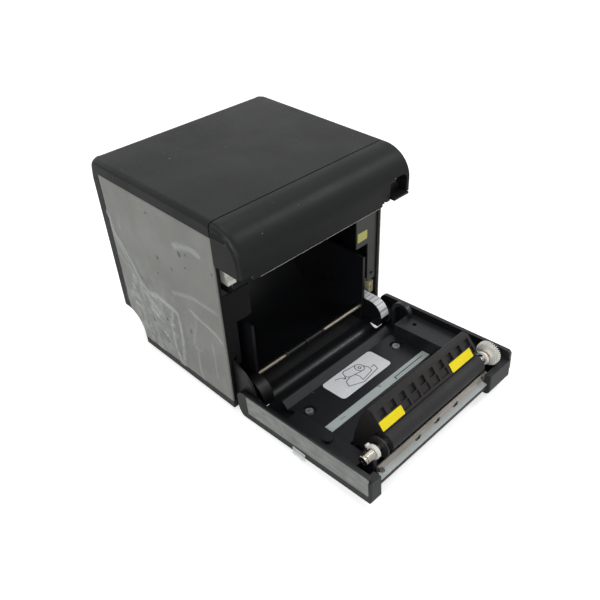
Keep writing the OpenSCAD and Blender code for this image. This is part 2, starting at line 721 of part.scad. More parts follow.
// ---------------------------------------------------------------- latch
bar_z = z0 + 100.2;
bar_t = 1.2;
bar_out = 2.6;
bar_x0 = pull_x + 1;
bar_x1 = in_x - 1.3;
hub_r = 2.8;
lever_t = 1.4;
lever_x0 = pull_x + 4.6;
lever_x1 = lever_x0 + 4;
module latch_shaft() color("#b5b7b8") {
  x_rod(latch_r, -in_x + 4, in_x - 4, latch_y, latch_z);
}
module release_lever() color("#1e1f21") {
  bar_y0 = front_y - bar_out;
  bar_y1 = latch_y + hub_r / 2 - 0.8;
  difference() {
    union() {
      box(bar_x0, bar_x1, bar_y0, bar_y1, bar_z, bar_z + bar_t);
      box(bar_x0 + 3, bar_x1, bar_y1 - lever_t, bar_y1, bar_z, latch_z - 2);
      box(lever_x0, lever_x1, bar_y1 - lever_t, latch_y + hub_r, latch_z - 5, latch_z);
      x_rod(hub_r, lever_x0, lever_x1, latch_y, latch_z);
    }
    x_rod(latch_r, lever_x0 - bite, lever_x1 + bite, latch_y, latch_z);
  }
}
// a claw reaches back over the roller bearing and down behind the corner of the door
claw_y0 = hinge_y + door_rise - 0.9;
claw_y1 = claw_y0 + 3.4;
claw_z = hinge_z + roller_reach + bush_r + 0.6;
module latch_hook(x0, x1) {
  difference() {
    union() {
      x_rod(hub_r, x0, x1, latch_y, latch_z);
      box(x0, x1, latch_y, claw_y1, latch_z - hub_r, latch_z);
      box(x0, x1, claw_y0, claw_y1, claw_z, latch_z);
    }
    x_rod(latch_r, x0 - bite, x1 + bite, latch_y, latch_z);
  }
}
module latch_hooks() color("#e8e8e2") {
  latch_hook(-fr_x1 - 4.1, -fr_x1 - 2.1);
  latch_hook(fr_x0 - 1.9, fr_x0 - 0.3);
}

// ---------------------------------------------------------------- door
ear_x0 = lug_x1 + 0.3;
wide_l = 89.2;
// the side walls stop short of the corner blocks, which are lower
rim_l = door_len - 1.3;
left_t = 7.5;
right_len = door_len - 0.7;
right_t = 6;
block_r = 0.8;
// top and foot of the upright face of the far wall between the corners
edge_t = -0.9;
edge_low = -3.1;
rear_r = 5.5;
inlay_l0 = 0.34;
inlay_l1 = 92.7;
inlay_t0 = -1.9;
inlay_t1 = 11;
module door_envelope() {
  intersection() {
    // rounded long bottom edges
    translate([0, 20, 0]) rotate([90, 0, 0]) linear_extrude(height = door_len + 30)
      round_rect(-half_w, half_w, -skin_out, door_rise + 10, 2);
    // rounded far corners, seen from above
    translate([0, 0, -skin_out - bite]) linear_extrude(height = 60)
      round_rect(-half_w, half_w, -door_len, 30, 2);
    // rounded far bottom edge
    d_plate(-half_w - bite, half_w + bite) round_rect(-30, door_len, -skin_out, door_rise + 10, door_edge_r);
  }
}
module rear_corner_cut() {
  x0 = -half_w - 2;
  x1 = half_w + 2;
  // bottom corner, concentric with the hinge
  difference() {
    d_box(x0, x1, -skin_out - 5, 0, -skin_out - 5, 0);
    d_rod(skin_out, x0 - 2, x1 + 2, 0, 0);
  }
  // top corner of the side walls
  difference() {
    d_box(x0, x1, -skin_out - 5, rear_r - skin_out, door_rise - rear_r, door_rise + 5);
    d_rod(rear_r, x0 - 2, x1 + 2, rear_r - skin_out, door_rise - rear_r);
  }
}
// the far wall leans back below its upright face at 45 degrees
lean = door_mid - edge_low;
module far_wall_outline() {
  inner_lean = lean - skin * sqrt(2);
  polygon([[door_mid, edge_t], [door_mid, edge_low], [lean - skin_out, -skin_out],
    [inner_lean - skin_out, -skin_out], [inner_lean - skin_out, -skin_in], [inner_lean - skin_in, -skin_in],
    [door_mid - skin, door_mid - skin - inner_lean], [door_mid - skin, edge_t]]);
}
module far_slope_outline() {
  polygon([[door_mid, edge_low], [door_mid + bite, edge_low], [door_mid + bite, -skin_out - bite],
    [lean - skin_out - bite, -skin_out - bite]]);
}
module door_inlay_outline() {
  round_rect(inlay_l0, inlay_l1, inlay_t0, inlay_t1, 0.8);
}
module door_shell() color("#232426") on_door() {
  difference() {
    intersection() {
      union() {
        d_box(-half_w, half_w, 0, door_mid, -skin_out, -skin_in);
        both() d_box(in_x, half_w, -skin_out, rim_l, -skin_out, door_rise);
        difference() {
          d_box(-in_x - bite, in_x + bite, -skin_out, 0.01, -skin_out, 0);
          d_rod(skin_in, -half_w, half_w, 0, 0);
        }
        // left corner, with the end of the roller in front of it
        d_box(-half_w, -corner_x, wide_l, door_len, -skin_out, left_t);
        d_box(-half_w, -in_x + 1.5, 76, wide_l + 1, -skin_out, left_t);
        // right corner
        d_box(block_x + block_r, half_w, wide_l, right_len, -skin_out, right_t);
        d_box(block_x, block_x + block_r, wide_l, right_len - block_r, -skin_out, right_t);
        translate([block_x + block_r, block_r - right_len, -skin_out]) cylinder(h = skin_out + right_t, r = block_r);
        d_box(in_x - 3.9, half_w, 70, wide_l + 1, -skin_out, right_t);
        // far wall between the corners
        d_plate(-corner_x - 0.01, block_x + 0.01) far_wall_outline();
        both() d_rod(lug_r, ear_x0, in_x + 0.5, 0, 0);
      }
      door_envelope();
    }
    rear_corner_cut();
    // the slope under the far wall
    d_plate(-corner_x, block_x) far_slope_outline();
    // room for the rod cheeks and hinge lugs in the bottom corner
    both() d_box(cheek_x0 - 0.4, cheek_x1 + 0.3, -skin_out - 1, 0.4, -skin_out - 1, 3);
    both() d_box(cheek_x1, ear_x0 - 0.1, -skin_out - 1, 0.4, -skin_in - 0.01, 3);
    both() d_rod(pin_r + fit, ear_x0 - bite, in_x, 0, 0);
    d_plate(-half_w - bite, -half_w + panel_t) door_inlay_outline();
    d_plate(half_w - panel_t, half_w + bite) door_inlay_outline();
    // pocket for the roller gear
    d_rod(gear_r + 0.6, flange_x - 0.8, gear_x1 + 0.9, platen_l, platen_t);
  }
}
module door_inlay_left() color("#8d9089") on_door() {
  d_plate(-half_w, -half_w + panel_t) door_inlay_outline();
}
module door_inlay_right() color("#8d9089") on_door() {
  d_plate(half_w - panel_t, half_w) door_inlay_outline();
}
module hinge_pins() color("#bfc1c2") {
  both() x_rod(pin_r, lug_x0, in_x - 0.2, hinge_y, hinge_z);
}

screw_x = 39.5;
screw_l = 24.7;
bed_end = 60;
plat_l0 = 17.8;
plat_t = 7;
plat_left_t = 1;
hump_l = 14;
hump_t = 7;
hump_r = 8;
module door_bed() color("#17181a") on_door() {
  bed_x = trough_x + 1.2;
  difference() {
    union() {
      // trough floor with its raised rear lip
      d_box(-trough_x, trough_x, 13, bed_end, -skin_in, trough_t);
      d_plate(-bed_x, bed_x)
        polygon([[8.8, -skin_in], [9.2, 1], [10.4, 1], [14.4, trough_t], [15, -skin_in]]);
      // side walls of the trough
      d_box(trough_x, bed_x, plat_l0, 72, -skin_in, plat_t);
      d_box(-bed_x, -trough_x, 23, 72, -skin_in, plat_left_t);
      // platforms beside the trough
      d_box(bed_x, in_x, plat_l0, 70, plat_t - 2, plat_t);
      d_box(bed_x, in_x, plat_l0, plat_l0 + 2, -skin_in, plat_t);
      d_box(-in_x, -bed_x, 23, 76, plat_left_t - 2, plat_left_t);
      d_box(-in_x, -bed_x, 23, 25, -skin_in, plat_left_t);
      // hooked rib beside the right wall
      d_plate(57.3, 60.5) difference() {
        union() {
          translate([hump_l, hump_t]) circle(r = hump_r);
          translate([hump_l - hump_r, -skin_in]) square([2.6, skin_in + hump_t]);
        }
        translate([hump_l, hump_t]) circle(r = hump_r - 2.6);
        translate([hump_l - hump_r + 2.6, -20]) square([30, 20 + hump_t]);
      }
      // boss on the left platform
      translate([-52, -52.4, 0]) cylinder(h = 3, r = 2.6);
      // pedestals of the two bearing clips
      for (x = [clip_left, clip_right]) d_box(x[0] - 0.3, x[1] + 0.3, platen_l - 4, platen_l + 0.8, -skin_in, pedestal_t);
      for (x = [clip_left, clip_right]) d_box(x[0] - 0.3, x[1] + 0.3, 68, platen_l - 4 + bite, -skin_in, plat_left_t);
    }
    for (s = [-1, 1]) translate([s * screw_x, -screw_l, trough_t - 1.4]) cylinder(h = 5, r = 4.4);
    translate([54, -28, plat_t - 5]) cylinder(h = 8, r = 1.5);
  }
}
module bed_screws() color("#c8cacb") on_door() {
  for (s = [-1, 1]) translate([s * screw_x, -screw_l, trough_t - 1.4]) difference() {
    cylinder(h = 1.3, r = 2.4);
    for (a = [0, 90]) rotate([0, 0, a]) translate([-1.5, -0.3, 0.7]) cube([3, 0.6, 1]);
  }
}
strip_l0 = 41.2;
strip_l1 = 47;
module bed_strip() color("#98a3a1") on_door() {
  difference() {
    d_box(-45.5, 45.5, strip_l0, strip_l1, trough_t, trough_t + 0.4);
    difference() {
      d_box(13.5, 42, strip_l1 - 3.4, strip_l1 - 0.8, trough_t + 0.1, 0);
      d_box(14.2, 41.3, strip_l1 - 2.7, strip_l1 - 1.5, trough_t, 0);
    }
  }
}

guide_x0 = -platen_len / 2 - 0.4;
guide_x1 = platen_len / 2 + 1.9;
// brow and nose: the two edges of the ribbed slope that ends over the roller
brow_l = platen_l - 8.4;
nose_l = platen_l - 0.6;
nose_t = platen_t + 6.55;
slope_a = atan2(guide_t - nose_t, nose_l - brow_l);
slope_len = norm([guide_t - nose_t, nose_l - brow_l]);
roller_gap = 0.4;
rib_n = 10;
rib_w = 1.6;
disc_r = 6.5;
disc_x0 = -platen_len / 2 - 4.9;
disc_x1 = disc_x0 + 1;
module guide_block() color("#242321") on_door() {
  difference() {
    union() {
      d_plate(guide_x0, guide_x1) polygon([[60.4, trough_t], [63, 8], [66.4, 18], [brow_l - 4.4, guide_t - 0.8],
        [brow_l - 3.2, guide_t], [brow_l, guide_t], [nose_l, nose_t], [nose_l - 0.4, platen_t], [platen_l - 4, 4],
        [platen_l - 4, trough_t]]);
      // disc that covers the left end of the roller, on its strut
      d_rod(disc_r, disc_x0, disc_x1, platen_l, platen_t);
      d_box(disc_x0, disc_x1, platen_l - 6, platen_l - 1, trough_t, platen_t);
      d_box(disc_x0, guide_x0 + bite, platen_l - 12, platen_l - 5, trough_t, trough_t + 4);
    }
    d_rod(platen_r + roller_gap, guide_x0 - 3, guide_x1 + bite, platen_l, platen_t);
    d_rod(shaft_r + roller_gap, disc_x0 - bite, guide_x0, platen_l, platen_t);
    // two rows of pockets down the slope
    translate([0, -brow_l, guide_t]) rotate([slope_a, 0, 0]) {
      pitch = (guide_x1 - guide_x0 - rib_w) / rib_n;
      for (i = [0 : rib_n - 1]) translate([guide_x0 + rib_w + i * pitch, 0, 0]) {
        translate([pitch * 0.15, 0.1 - slope_len / 2, -1.6]) cube([pitch * 0.6, slope_len * 0.36, 3]);
        translate([0, 1.6 - slope_len, -1]) cube([pitch - rib_w, slope_len * 0.34, 3]);
      }
    }
  }
}

// the tear plate: an upright leaf behind and a lip that slopes down to the paper strip
tear_l = platen_l + 1.6;
lip_l = tear_l + 2.4;
leaf_t = 0.8;
tear_x0 = -platen_len / 2 - 7.9;
tear_x1 = platen_len / 2 + 8.9;
notch_at = [-18.6, -1.4, 15.6];
plate_screw_r = 1.3;
plate_screw_at = [[tear_x0 + 0.7, 87.5], [tear_x1 - 5.5, 87.2]];
module plate_holes() {
  for (p = plate_screw_at) translate([p[0], -p[1], edge_t]) cylinder(h = 4, r = plate_screw_r + 0.3);
  for (x = notch_at) {
    d_box(x - 2, x + 2, lip_l - 0.5, lip_l + 0.6, edge_t, tear_t);
    d_box(x + 0.8, x + 3.2, lip_l - 0.9, lip_l + 0.2, edge_t, tear_t);
  }
}
module tear_plate() color("#ada39b") on_door() {
  difference() {
    d_plate(tear_x0, tear_x1) polygon([[tear_l - leaf_t, -4], [tear_l, -4], [tear_l, tear_t - 1], [lip_l - 0.4, -0.7],
      [lip_l, 0], [tear_l, tear_t], [tear_l - leaf_t, tear_t - 0.3]]);
    plate_holes();
  }
}
module lower_plate() color("#a3adab") on_door() {
  strip_x0 = tear_x0 - 5;
  difference() {
    d_plate(strip_x0, block_x) polygon([[lip_l + 0.02, 0], [door_mid - 0.2, edge_t + 0.4], [door_mid - 0.2, edge_t],
      [lip_l - 1.2, edge_t], [lip_l - 1.2, -0.72], [lip_l - 0.38, -0.72]]);
    // slanted left end
    translate([0, 0, -5]) linear_extrude(height = 10) polygon([[strip_x0 - bite, -door_mid - bite],
      [strip_x0 + 0.4, -door_mid - bite], [strip_x0 + 3.6, -lip_l + 1.3], [strip_x0 - bite, -lip_l + 1.3]]);
    plate_holes();
  }
}
module plate_screws() color("#303133") on_door() {
  for (p = plate_screw_at) translate([p[0], -p[1], edge_t]) difference() {
    cylinder(h = 1.1, r = plate_screw_r);
    translate([-0.9, -0.2, 0.6]) cube([1.8, 0.4, 1]);
  }
}

// bearings: black pedestals stand on the door, an open clip holds each bush
clip_wall = 1;
clip_r = bush_r + clip_wall;
clip_left = [-platen_len / 2 - 9.9, -platen_len / 2 - 7.8];
clip_right = [platen_len / 2 + 5.4, platen_len / 2 + 6.9];
pedestal_t = platen_t - clip_r;
module bearing_clip(x0, x1, r) {
  difference() {
    union() {
      d_rod(clip_r, x0, x1, platen_l, platen_t);
      d_box(x0, x1, platen_l - 2, platen_l + 1.6, pedestal_t, platen_t);
      // finger that hooks over the bush from behind
      d_rod(clip_wall, x0, x1, platen_l - clip_r, platen_t + clip_r - 2.2);
    }
    d_rod(r, x0 - bite, x1 + bite, platen_l, platen_t);
    // open towards the hinge
    d_box(x0 - bite, x1 + bite, platen_l - clip_r - 2 * bite, platen_l - 1.5, platen_t - 2.6, platen_t + 0.8);
  }
}
module bearing_clips() color("#e8e8e2") on_door() {
  bearing_clip(clip_left[0], clip_left[1], bush_r);
  bearing_clip(clip_right[0], clip_right[1], bush_r - 0.3);
}
module bearing_bush(x0, x1, r) {
  difference() {
    d_rod(r, x0, x1, platen_l, platen_t);
    d_rod(shaft_r + fit, x0 - bite, x1 + bite, platen_l, platen_t);
  }
}
bush_end = fr_x1 + 3.7;
ring_x0 = fr_x0 - 1.1;
ring_x1 = ring_x0 + 1;
module bearing_bushes() color("#cfc9bb") on_door() {
  bearing_bush(-bush_end, clip_left[1], bush_r);
  bearing_bush(clip_right[0], ring_x0, bush_r - 0.3);
}

// ---------------------------------------------------------------- roller
module spacer_ring() color("#a8874f") on_door() {
  difference() {
    d_rod(bush_r, ring_x0, ring_x1, platen_l, platen_t);
    d_rod(shaft_r, ring_x0 - bite, ring_x1 + bite, platen_l, platen_t);
  }
}
module platen_shaft() color("#c6c7c8") on_door() {
  d_rod(shaft_r, -bush_end - 3.5, gear_x1 + 0.8, platen_l, platen_t);
}
module platen_rubber() color("#2c2d30") on_door() {
  difference() {
    d_rod(platen_r, -platen_len / 2, platen_len / 2, platen_l, platen_t);
    d_rod(shaft_r, -platen_len / 2 - bite, platen_len / 2 + bite, platen_l, platen_t);
  }
}
module platen_gear() color("#e6e6de") on_door() {
  difference() {
    union() {
      x_gear(gear_n, -platen_l, platen_t, 0);
      d_rod(gear_r - tooth_m / 2, flange_x, gear_x0 + slack, platen_l, platen_t);
      d_rod(bush_r - 0.3, ring_x1, flange_x + slack, platen_l, platen_t);
    }
    d_rod(shaft_r, ring_x1 - bite, gear_x1 + bite, platen_l, platen_t);
    difference() {
      d_rod(gear_r - 2.4, gear_x1 - 1, gear_x1 + bite, platen_l, platen_t);
      d_rod(shaft_r + 1.2, gear_x1 - 2, gear_x1 + 2 * bite, platen_l, platen_t);
    }
  }
}

bottom_case();
rubber_feet();
top_cover();
rear_cover();
side_panel_left();
side_panel_right();
side_film_left();
side_film_right();
front_cap();
cap_inlay_left();
cap_inlay_right();
exit_strip();
connector_panel();
power_inlet();
usb_port();
lan_port();
drawer_port();
roll_bay();
end_flap();
wall_plate_left();
wall_plate_right();
cable_clip();
head_frame();
print_head();
bearing_seats();
cutter_housing();
cutter_blade();
drive_motor();
motor_pinion();
idler_front();
idler_rear();
rod_cheeks();
support_rod();
support_sleeve();
latch_shaft();
release_lever();
latch_hooks();
main_board();
flat_cable();
hinge_pins();
door_shell();
door_inlay_left();
door_inlay_right();
door_bed();
bed_screws();
bed_strip();
guide_block();
tear_plate();
lower_plate();
plate_screws();
bearing_clips();
bearing_bushes();
spacer_ring();
platen_shaft();
platen_rubber();
platen_gear();
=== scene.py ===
import math
import bmesh
import bpy
from mathutils import Matrix, Vector, noise


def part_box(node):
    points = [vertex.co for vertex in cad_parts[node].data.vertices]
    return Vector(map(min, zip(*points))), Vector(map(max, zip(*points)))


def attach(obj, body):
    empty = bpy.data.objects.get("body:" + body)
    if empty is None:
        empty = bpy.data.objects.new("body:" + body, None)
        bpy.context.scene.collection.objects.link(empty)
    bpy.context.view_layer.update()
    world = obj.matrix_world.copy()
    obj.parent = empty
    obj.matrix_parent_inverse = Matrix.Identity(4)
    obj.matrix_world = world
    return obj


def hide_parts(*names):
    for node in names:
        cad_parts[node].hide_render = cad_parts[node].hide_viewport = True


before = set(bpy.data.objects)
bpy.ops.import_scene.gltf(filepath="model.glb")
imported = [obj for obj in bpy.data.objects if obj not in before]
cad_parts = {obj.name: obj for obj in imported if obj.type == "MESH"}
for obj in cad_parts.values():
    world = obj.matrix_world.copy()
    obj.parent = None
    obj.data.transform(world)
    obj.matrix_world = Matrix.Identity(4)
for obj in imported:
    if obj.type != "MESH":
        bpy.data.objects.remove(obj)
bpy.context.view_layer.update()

mm = 0.001
print("stage: frame loaded,", len(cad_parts), "nodes")

# ---- camera
cameraSettings = {
    "place": (-0.226949, -0.240408, 0.294297),
    "aimFrom": (-250, -350, 350),
    "aimAt": (0, -30, 50),
    "turn": (0.05333, -0.10217, -0.10070),   # small correction to the aim, as a rotation vector
    "clipStart": 0.01,
    "lens": 40.80,
    "shift": (-0.0480, 0.0518),
}


def makeCamera(settings):
    forward = (Vector(settings["aimAt"]) - Vector(settings["aimFrom"])).normalized()
    right = forward.cross(Vector((0, 0, 1))).normalized()
    down = -right.cross(forward)
    turn = Vector(settings["turn"])
    rows = Matrix.Rotation(turn.length, 3, turn.normalized()) @ Matrix((right, down, forward))
    data = bpy.data.cameras.new("shopCamera")
    data.lens = settings["lens"]
    data.shift_x, data.shift_y = settings["shift"]
    data.clip_start = settings["clipStart"]
    camera = bpy.data.objects.new("shopCamera", data)
    axes = Matrix((rows[0], -rows[1], -rows[2])).transposed()
    camera.matrix_world = Matrix.Translation(settings["place"]) @ axes.to_4x4()
    bpy.context.scene.collection.objects.link(camera)
    bpy.context.scene.camera = camera


makeCamera(cameraSettings)
print("stage: camera")

# ---- where things are, in millimetres; the door is measured along it from its hinge
caseHalf = 65.15
hingeY, hingeZ = -13.387, 8.4
doorTilt = math.radians(3.6138)
flangeFace = 0.613
browAlong, browUp = 75.2, 29.0     # upper edge of the sloping paper guide
noseAlong, noseUp = 83.0, 19.0     # lower edge of it


def casePoint(x, y, z):
    return Vector((x, y, z)) * mm


def doorPoint(x, along, up):
    y = hingeY - along * math.cos(doorTilt) + up * math.sin(doorTilt)
    z = hingeZ + along * math.sin(doorTilt) + up * math.cos(doorTilt)
    return casePoint(x, y, z)


def guidePoint(x, down, lift):
    slope = Vector((noseAlong - browAlong, noseUp - browUp)).normalized()
    along = browAlong + slope.x * down - slope.y * lift
    up = browUp + slope.y * down + slope.x * lift
    return doorPoint(x, along, up)


def paint(red, green, blue):     # from the usual 0 to 255 steps to linear light
    linear = [((c / 255 + 0.055) / 1.055) ** 2.4 for c in (red, green, blue)]
    return (*linear, 1)


# ---- materials
def startMaterial(name):
    material = bpy.data.materials.new(name)
    material.use_nodes = True
    tree = material.node_tree
    place = tree.nodes.new("ShaderNodeTexCoord").outputs["Object"]
    return material, tree.nodes, tree.links, tree.nodes["Principled BSDF"], place


def addNoise(nodes, links, place, scale, detail, stretch=(1, 1, 1)):
    mapping = nodes.new("ShaderNodeMapping")
    mapping.inputs["Scale"].default_value = stretch
    cloud = nodes.new("ShaderNodeTexNoise")
    cloud.inputs["Scale"].default_value = scale
    cloud.inputs["Detail"].default_value = detail
    links.new(place, mapping.inputs["Vector"])
    links.new(mapping.outputs["Vector"], cloud.inputs["Vector"])
    return cloud.outputs["Fac"]


def addRange(nodes, links, value, low, high, outLow, outHigh):
    ramp = nodes.new("ShaderNodeMapRange")
    for socket, number in zip(("From Min", "From Max", "To Min", "To Max"), (low, high, outLow, outHigh)):
        ramp.inputs[socket].default_value = number
    links.new(value, ramp.inputs["Value"])
    return ramp.outputs["Result"]


def addMath(nodes, links, operation, first, second):
    step = nodes.new("ShaderNodeMath")
    step.operation = operation
    links.new(first, step.inputs[0])
    if isinstance(second, (int, float)):
        step.inputs[1].default_value = second
    else:
        links.new(second, step.inputs[1])
    return step.outputs[0]


def addMix(nodes, links, factor, first, second):
    mix = nodes.new("ShaderNodeMix")
    mix.data_type = "RGBA"
    links.new(factor, mix.inputs["Factor"])
    for socket, colour in ((mix.inputs[6], first), (mix.inputs[7], second)):
        if isinstance(colour, tuple):
            socket.default_value = colour
        else:
            links.new(colour, socket)
    return mix.outputs[2]


def addBump(nodes, links, shader, height, depth):
    bump = nodes.new("ShaderNodeBump")
    bump.inputs["Distance"].default_value = depth
    links.new(height, bump.inputs["Height"])
    links.new(bump.outputs["Normal"], shader.inputs["Normal"])


finishDefaults = {
    "patch": 28,                 # size of the slow colour changes, per metre
    "patchDetail": 4,
    "grain": 1800,               # size of the moulded or brushed grain, per metre
    "grainDetail": 2,
    "stretch": (1, 1, 1),        # pulls the grain out along one axis
    "depth": 0.00004,            # height of the grain in metres
    "toneSpan": (0.72, 1.28),    # patch and grain added up, where the colour is darkest and lightest
    "rough": 0.45,
    "roughSpread": 0.08,
    "roughSpan": (0.7, 1.3),     # the same sum, where the surface is roughest and smoothest
    "metal": 0.0,
    "coat": 0.0,
    "gloss": 0.3,                # specular level
    "specks": 0.0,               # share of the surface that holds dust
    "speckSize": 700,            # per metre
    "speckDetail": 1,
    "speckEdge": 0.02,           # how softly a speck ends
    "speckStrength": 0.8,
    "speckColour": paint(150, 150, 145),
    "tickAxis": None,            # axis of a printed scale
    "tickPitch": 0.002,
    "tickWidth": 0.2,            # as a share of the pitch
    "tickStrength": 0.55,
    "tickColour": paint(40, 42, 46),
}


def makeFinish(name, colour, shade, **changes):
    settings = {**finishDefaults, **changes}
    material, nodes, links, shader, place = startMaterial(name)
    patches = addNoise(nodes, links, place, settings["patch"], settings["patchDetail"])
    grain = addNoise(nodes, links, place, settings["grain"], settings["grainDetail"], settings["stretch"])
    both = addMath(nodes, links, "ADD", patches, grain)
    tone = addRange(nodes, links, both, *settings["toneSpan"], 0, 1)
    result = addMix(nodes, links, tone, paint(*shade), paint(*colour))
    if settings["specks"]:
        dust = addNoise(nodes, links, place, settings["speckSize"], settings["speckDetail"])
        start = 1 - settings["specks"]
        end = start + settings["speckEdge"]
        share = addRange(nodes, links, dust, start, end, 0, settings["speckStrength"])
        result = addMix(nodes, links, share, result, settings["speckColour"])
    if settings["tickAxis"] is not None:
        split = nodes.new("ShaderNodeSeparateXYZ")
        links.new(place, split.inputs[0])
        turn = addMath(nodes, links, "DIVIDE", split.outputs[settings["tickAxis"]], settings["tickPitch"])
        saw = addMath(nodes, links, "FRACT", turn, 0)
        tick = addMath(nodes, links, "LESS_THAN", saw, settings["tickWidth"])
        thin = addMath(nodes, links, "MULTIPLY", tick, settings["tickStrength"])
        result = addMix(nodes, links, thin, result, settings["tickColour"])
    links.new(result, shader.inputs["Base Color"])
    low, high = settings["rough"] - settings["roughSpread"], settings["rough"] + settings["roughSpread"]
    links.new(addRange(nodes, links, both, *settings["roughSpan"], high, low), shader.inputs["Roughness"])
    shader.inputs["Metallic"].default_value = settings["metal"]
    shader.inputs["Coat Weight"].default_value = settings["coat"]
    shader.inputs["Specular IOR Level"].default_value = settings["gloss"]
    addBump(nodes, links, shader, grain, settings["depth"])
    return material


def dress(material, *nodeNames):
    for nodeName in nodeNames:
        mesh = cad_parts[nodeName].data
        mesh.materials.clear()
        mesh.materials.append(material)


brushedX = (0.04, 1, 1)
caseCharcoal = makeFinish("caseCharcoal", (28, 29, 29), (23, 24, 24), rough=0.42, gloss=0.15, specks=0.2,
                          depth=0.00005)
doorCharcoal = makeFinish("doorCharcoal", (42, 43, 44), (33, 34, 35), rough=0.44, depth=0.00005)
whiteNylon = makeFinish("whiteNylon", (232, 231, 224), (214, 213, 206), rough=0.38)
bushChrome = makeFinish("bushChrome", (214, 208, 198), (160, 154, 146), metal=1.0, rough=0.2)
dress(caseCharcoal, "cap_inlay_left", "cap_inlay_right")
dress(makeFinish("trayBlack", (38, 39, 42), (25, 26, 29), rough=0.36, patch=45, specks=0.2), "door_bed")
bayBlack = makeFinish("bayBlack", (25, 26, 29), (15, 16, 18), rough=0.36, patch=40)
dress(bayBlack, "roll_bay", "end_flap")
dress(makeFinish("baseBlack", (48, 49, 48), (38, 39, 39), rough=0.5), "bottom_case")
workBlack = makeFinish("workBlack", (22, 22, 24), (14, 14, 16), rough=0.4)
dress(workBlack, "rod_cheeks", "cutter_housing", "power_inlet", "drawer_port", "release_lever",
      "support_sleeve")
dress(makeFinish("guideBrown", (34, 32, 31), (25, 23, 23), rough=0.5, specks=0.2), "guide_block")
dress(makeFinish("panelGrey", (128, 128, 123), (116, 117, 112), rough=0.4),
      "side_panel_left", "side_panel_right")
dress(makeFinish("inlaySilver", (146, 149, 145), (114, 118, 114), rough=0.42, stretch=(1, 0.3, 1), grain=420),
      "door_inlay_left", "door_inlay_right")
dress(makeFinish("tearSteel", (160, 154, 147), (138, 132, 125), metal=0.15, rough=0.5, stretch=brushedX),
      "tear_plate")
# near white, above the steel's own colour: a painted highlight along the cap's lower lip
dress(makeFinish("exitSteelHighlight", (236, 231, 220), (214, 208, 198), metal=0.1, rough=0.25, stretch=brushedX),
      "exit_strip", "cutter_blade")
dress(makeFinish("scaleTape", (186, 196, 194), (172, 182, 180), rough=0.38), "bed_strip")
dress(makeFinish("edgeTape", (196, 202, 200), (180, 186, 184), rough=0.4), "lower_plate")
dress(makeFinish("rollerRubber", (36, 36, 38), (28, 28, 30), rough=0.62, grain=1200), "platen_rubber")
dress(makeFinish("brightSteel", (205, 204, 202), (170, 170, 170), metal=1.0, rough=0.2, stretch=brushedX),
      "platen_shaft", "latch_shaft", "hinge_pins")
dress(makeFinish("screwZinc", (190, 194, 194), (120, 124, 124), metal=0.5, grain=900, rough=0.35),
      "bed_screws")
dress(makeFinish("rodSteel", (176, 168, 152), (140, 132, 118), metal=0.6, rough=0.45, stretch=brushedX),
      "support_rod")
dress(bushChrome, "bearing_bushes")
dress(makeFinish("ringBrass", (196, 164, 102), (160, 130, 76), metal=1.0, rough=0.3),
      "spacer_ring", "motor_pinion")
dress(whiteNylon, "platen_gear", "bearing_clips", "bearing_seats", "idler_front", "idler_rear")
dress(makeFinish("hookGrey", (128, 126, 120), (98, 96, 92), rough=0.4), "latch_hooks")
dress(makeFinish("clipCream", (224, 214, 178), (206, 196, 160), rough=0.45), "cable_clip")
flexWhite = makeFinish("flexWhite", (232, 234, 236), (214, 217, 220), rough=0.3, tickAxis=1, tickPitch=0.0034)
dress(makeFinish("boardGreen", (26, 74, 48), (18, 56, 36), rough=0.35, coat=0.4), "main_board")
dress(makeFinish("zincPlate", (150, 152, 152), (126, 128, 128), metal=0.6, rough=0.42, stretch=brushedX),
      "head_frame", "connector_panel", "usb_port", "lan_port", "plate_screws")
dress(makeFinish("flangeGrey", (80, 81, 79), (64, 65, 63), metal=0.3, rough=0.45), "wall_plate_right")
# the left wall plate, mirror of the grey right one, is made near black as painted shade from the cap
dress(makeFinish("plateShadedBlack", (16, 16, 18), (10, 10, 12), rough=0.45), "wall_plate_left")
dress(makeFinish("headAlloy", (172, 174, 176), (140, 142, 144), metal=0.9, rough=0.35, stretch=brushedX),
      "print_head")
dress(makeFinish("motorCan", (140, 141, 142), (112, 113, 114), metal=0.8, rough=0.4), "drive_motor")
dress(makeFinish("footRubber", (36, 36, 36), (26, 26, 26), rough=0.75, grain=900), "rubber_feet")
print("stage: materials")


# ---- outer shells with fuller corners than the solids have
def addFlat(name, work, material, body):
    mesh = bpy.data.meshes.new(name)
    work.to_mesh(mesh)
    work.free()
    mesh.materials.append(material)
    piece = bpy.data.objects.new(name, mesh)
    bpy.context.scene.collection.objects.link(piece)
    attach(piece, body)
    return piece


def addSmooth(name, work, material, body, sharpAngle):
    for face in work.faces:
        face.smooth = True
    for edge in work.edges:
        if len(edge.link_faces) == 2:
            edge.smooth = edge.calc_face_angle() < math.radians(sharpAngle)
    return addFlat(name, work, material, body)


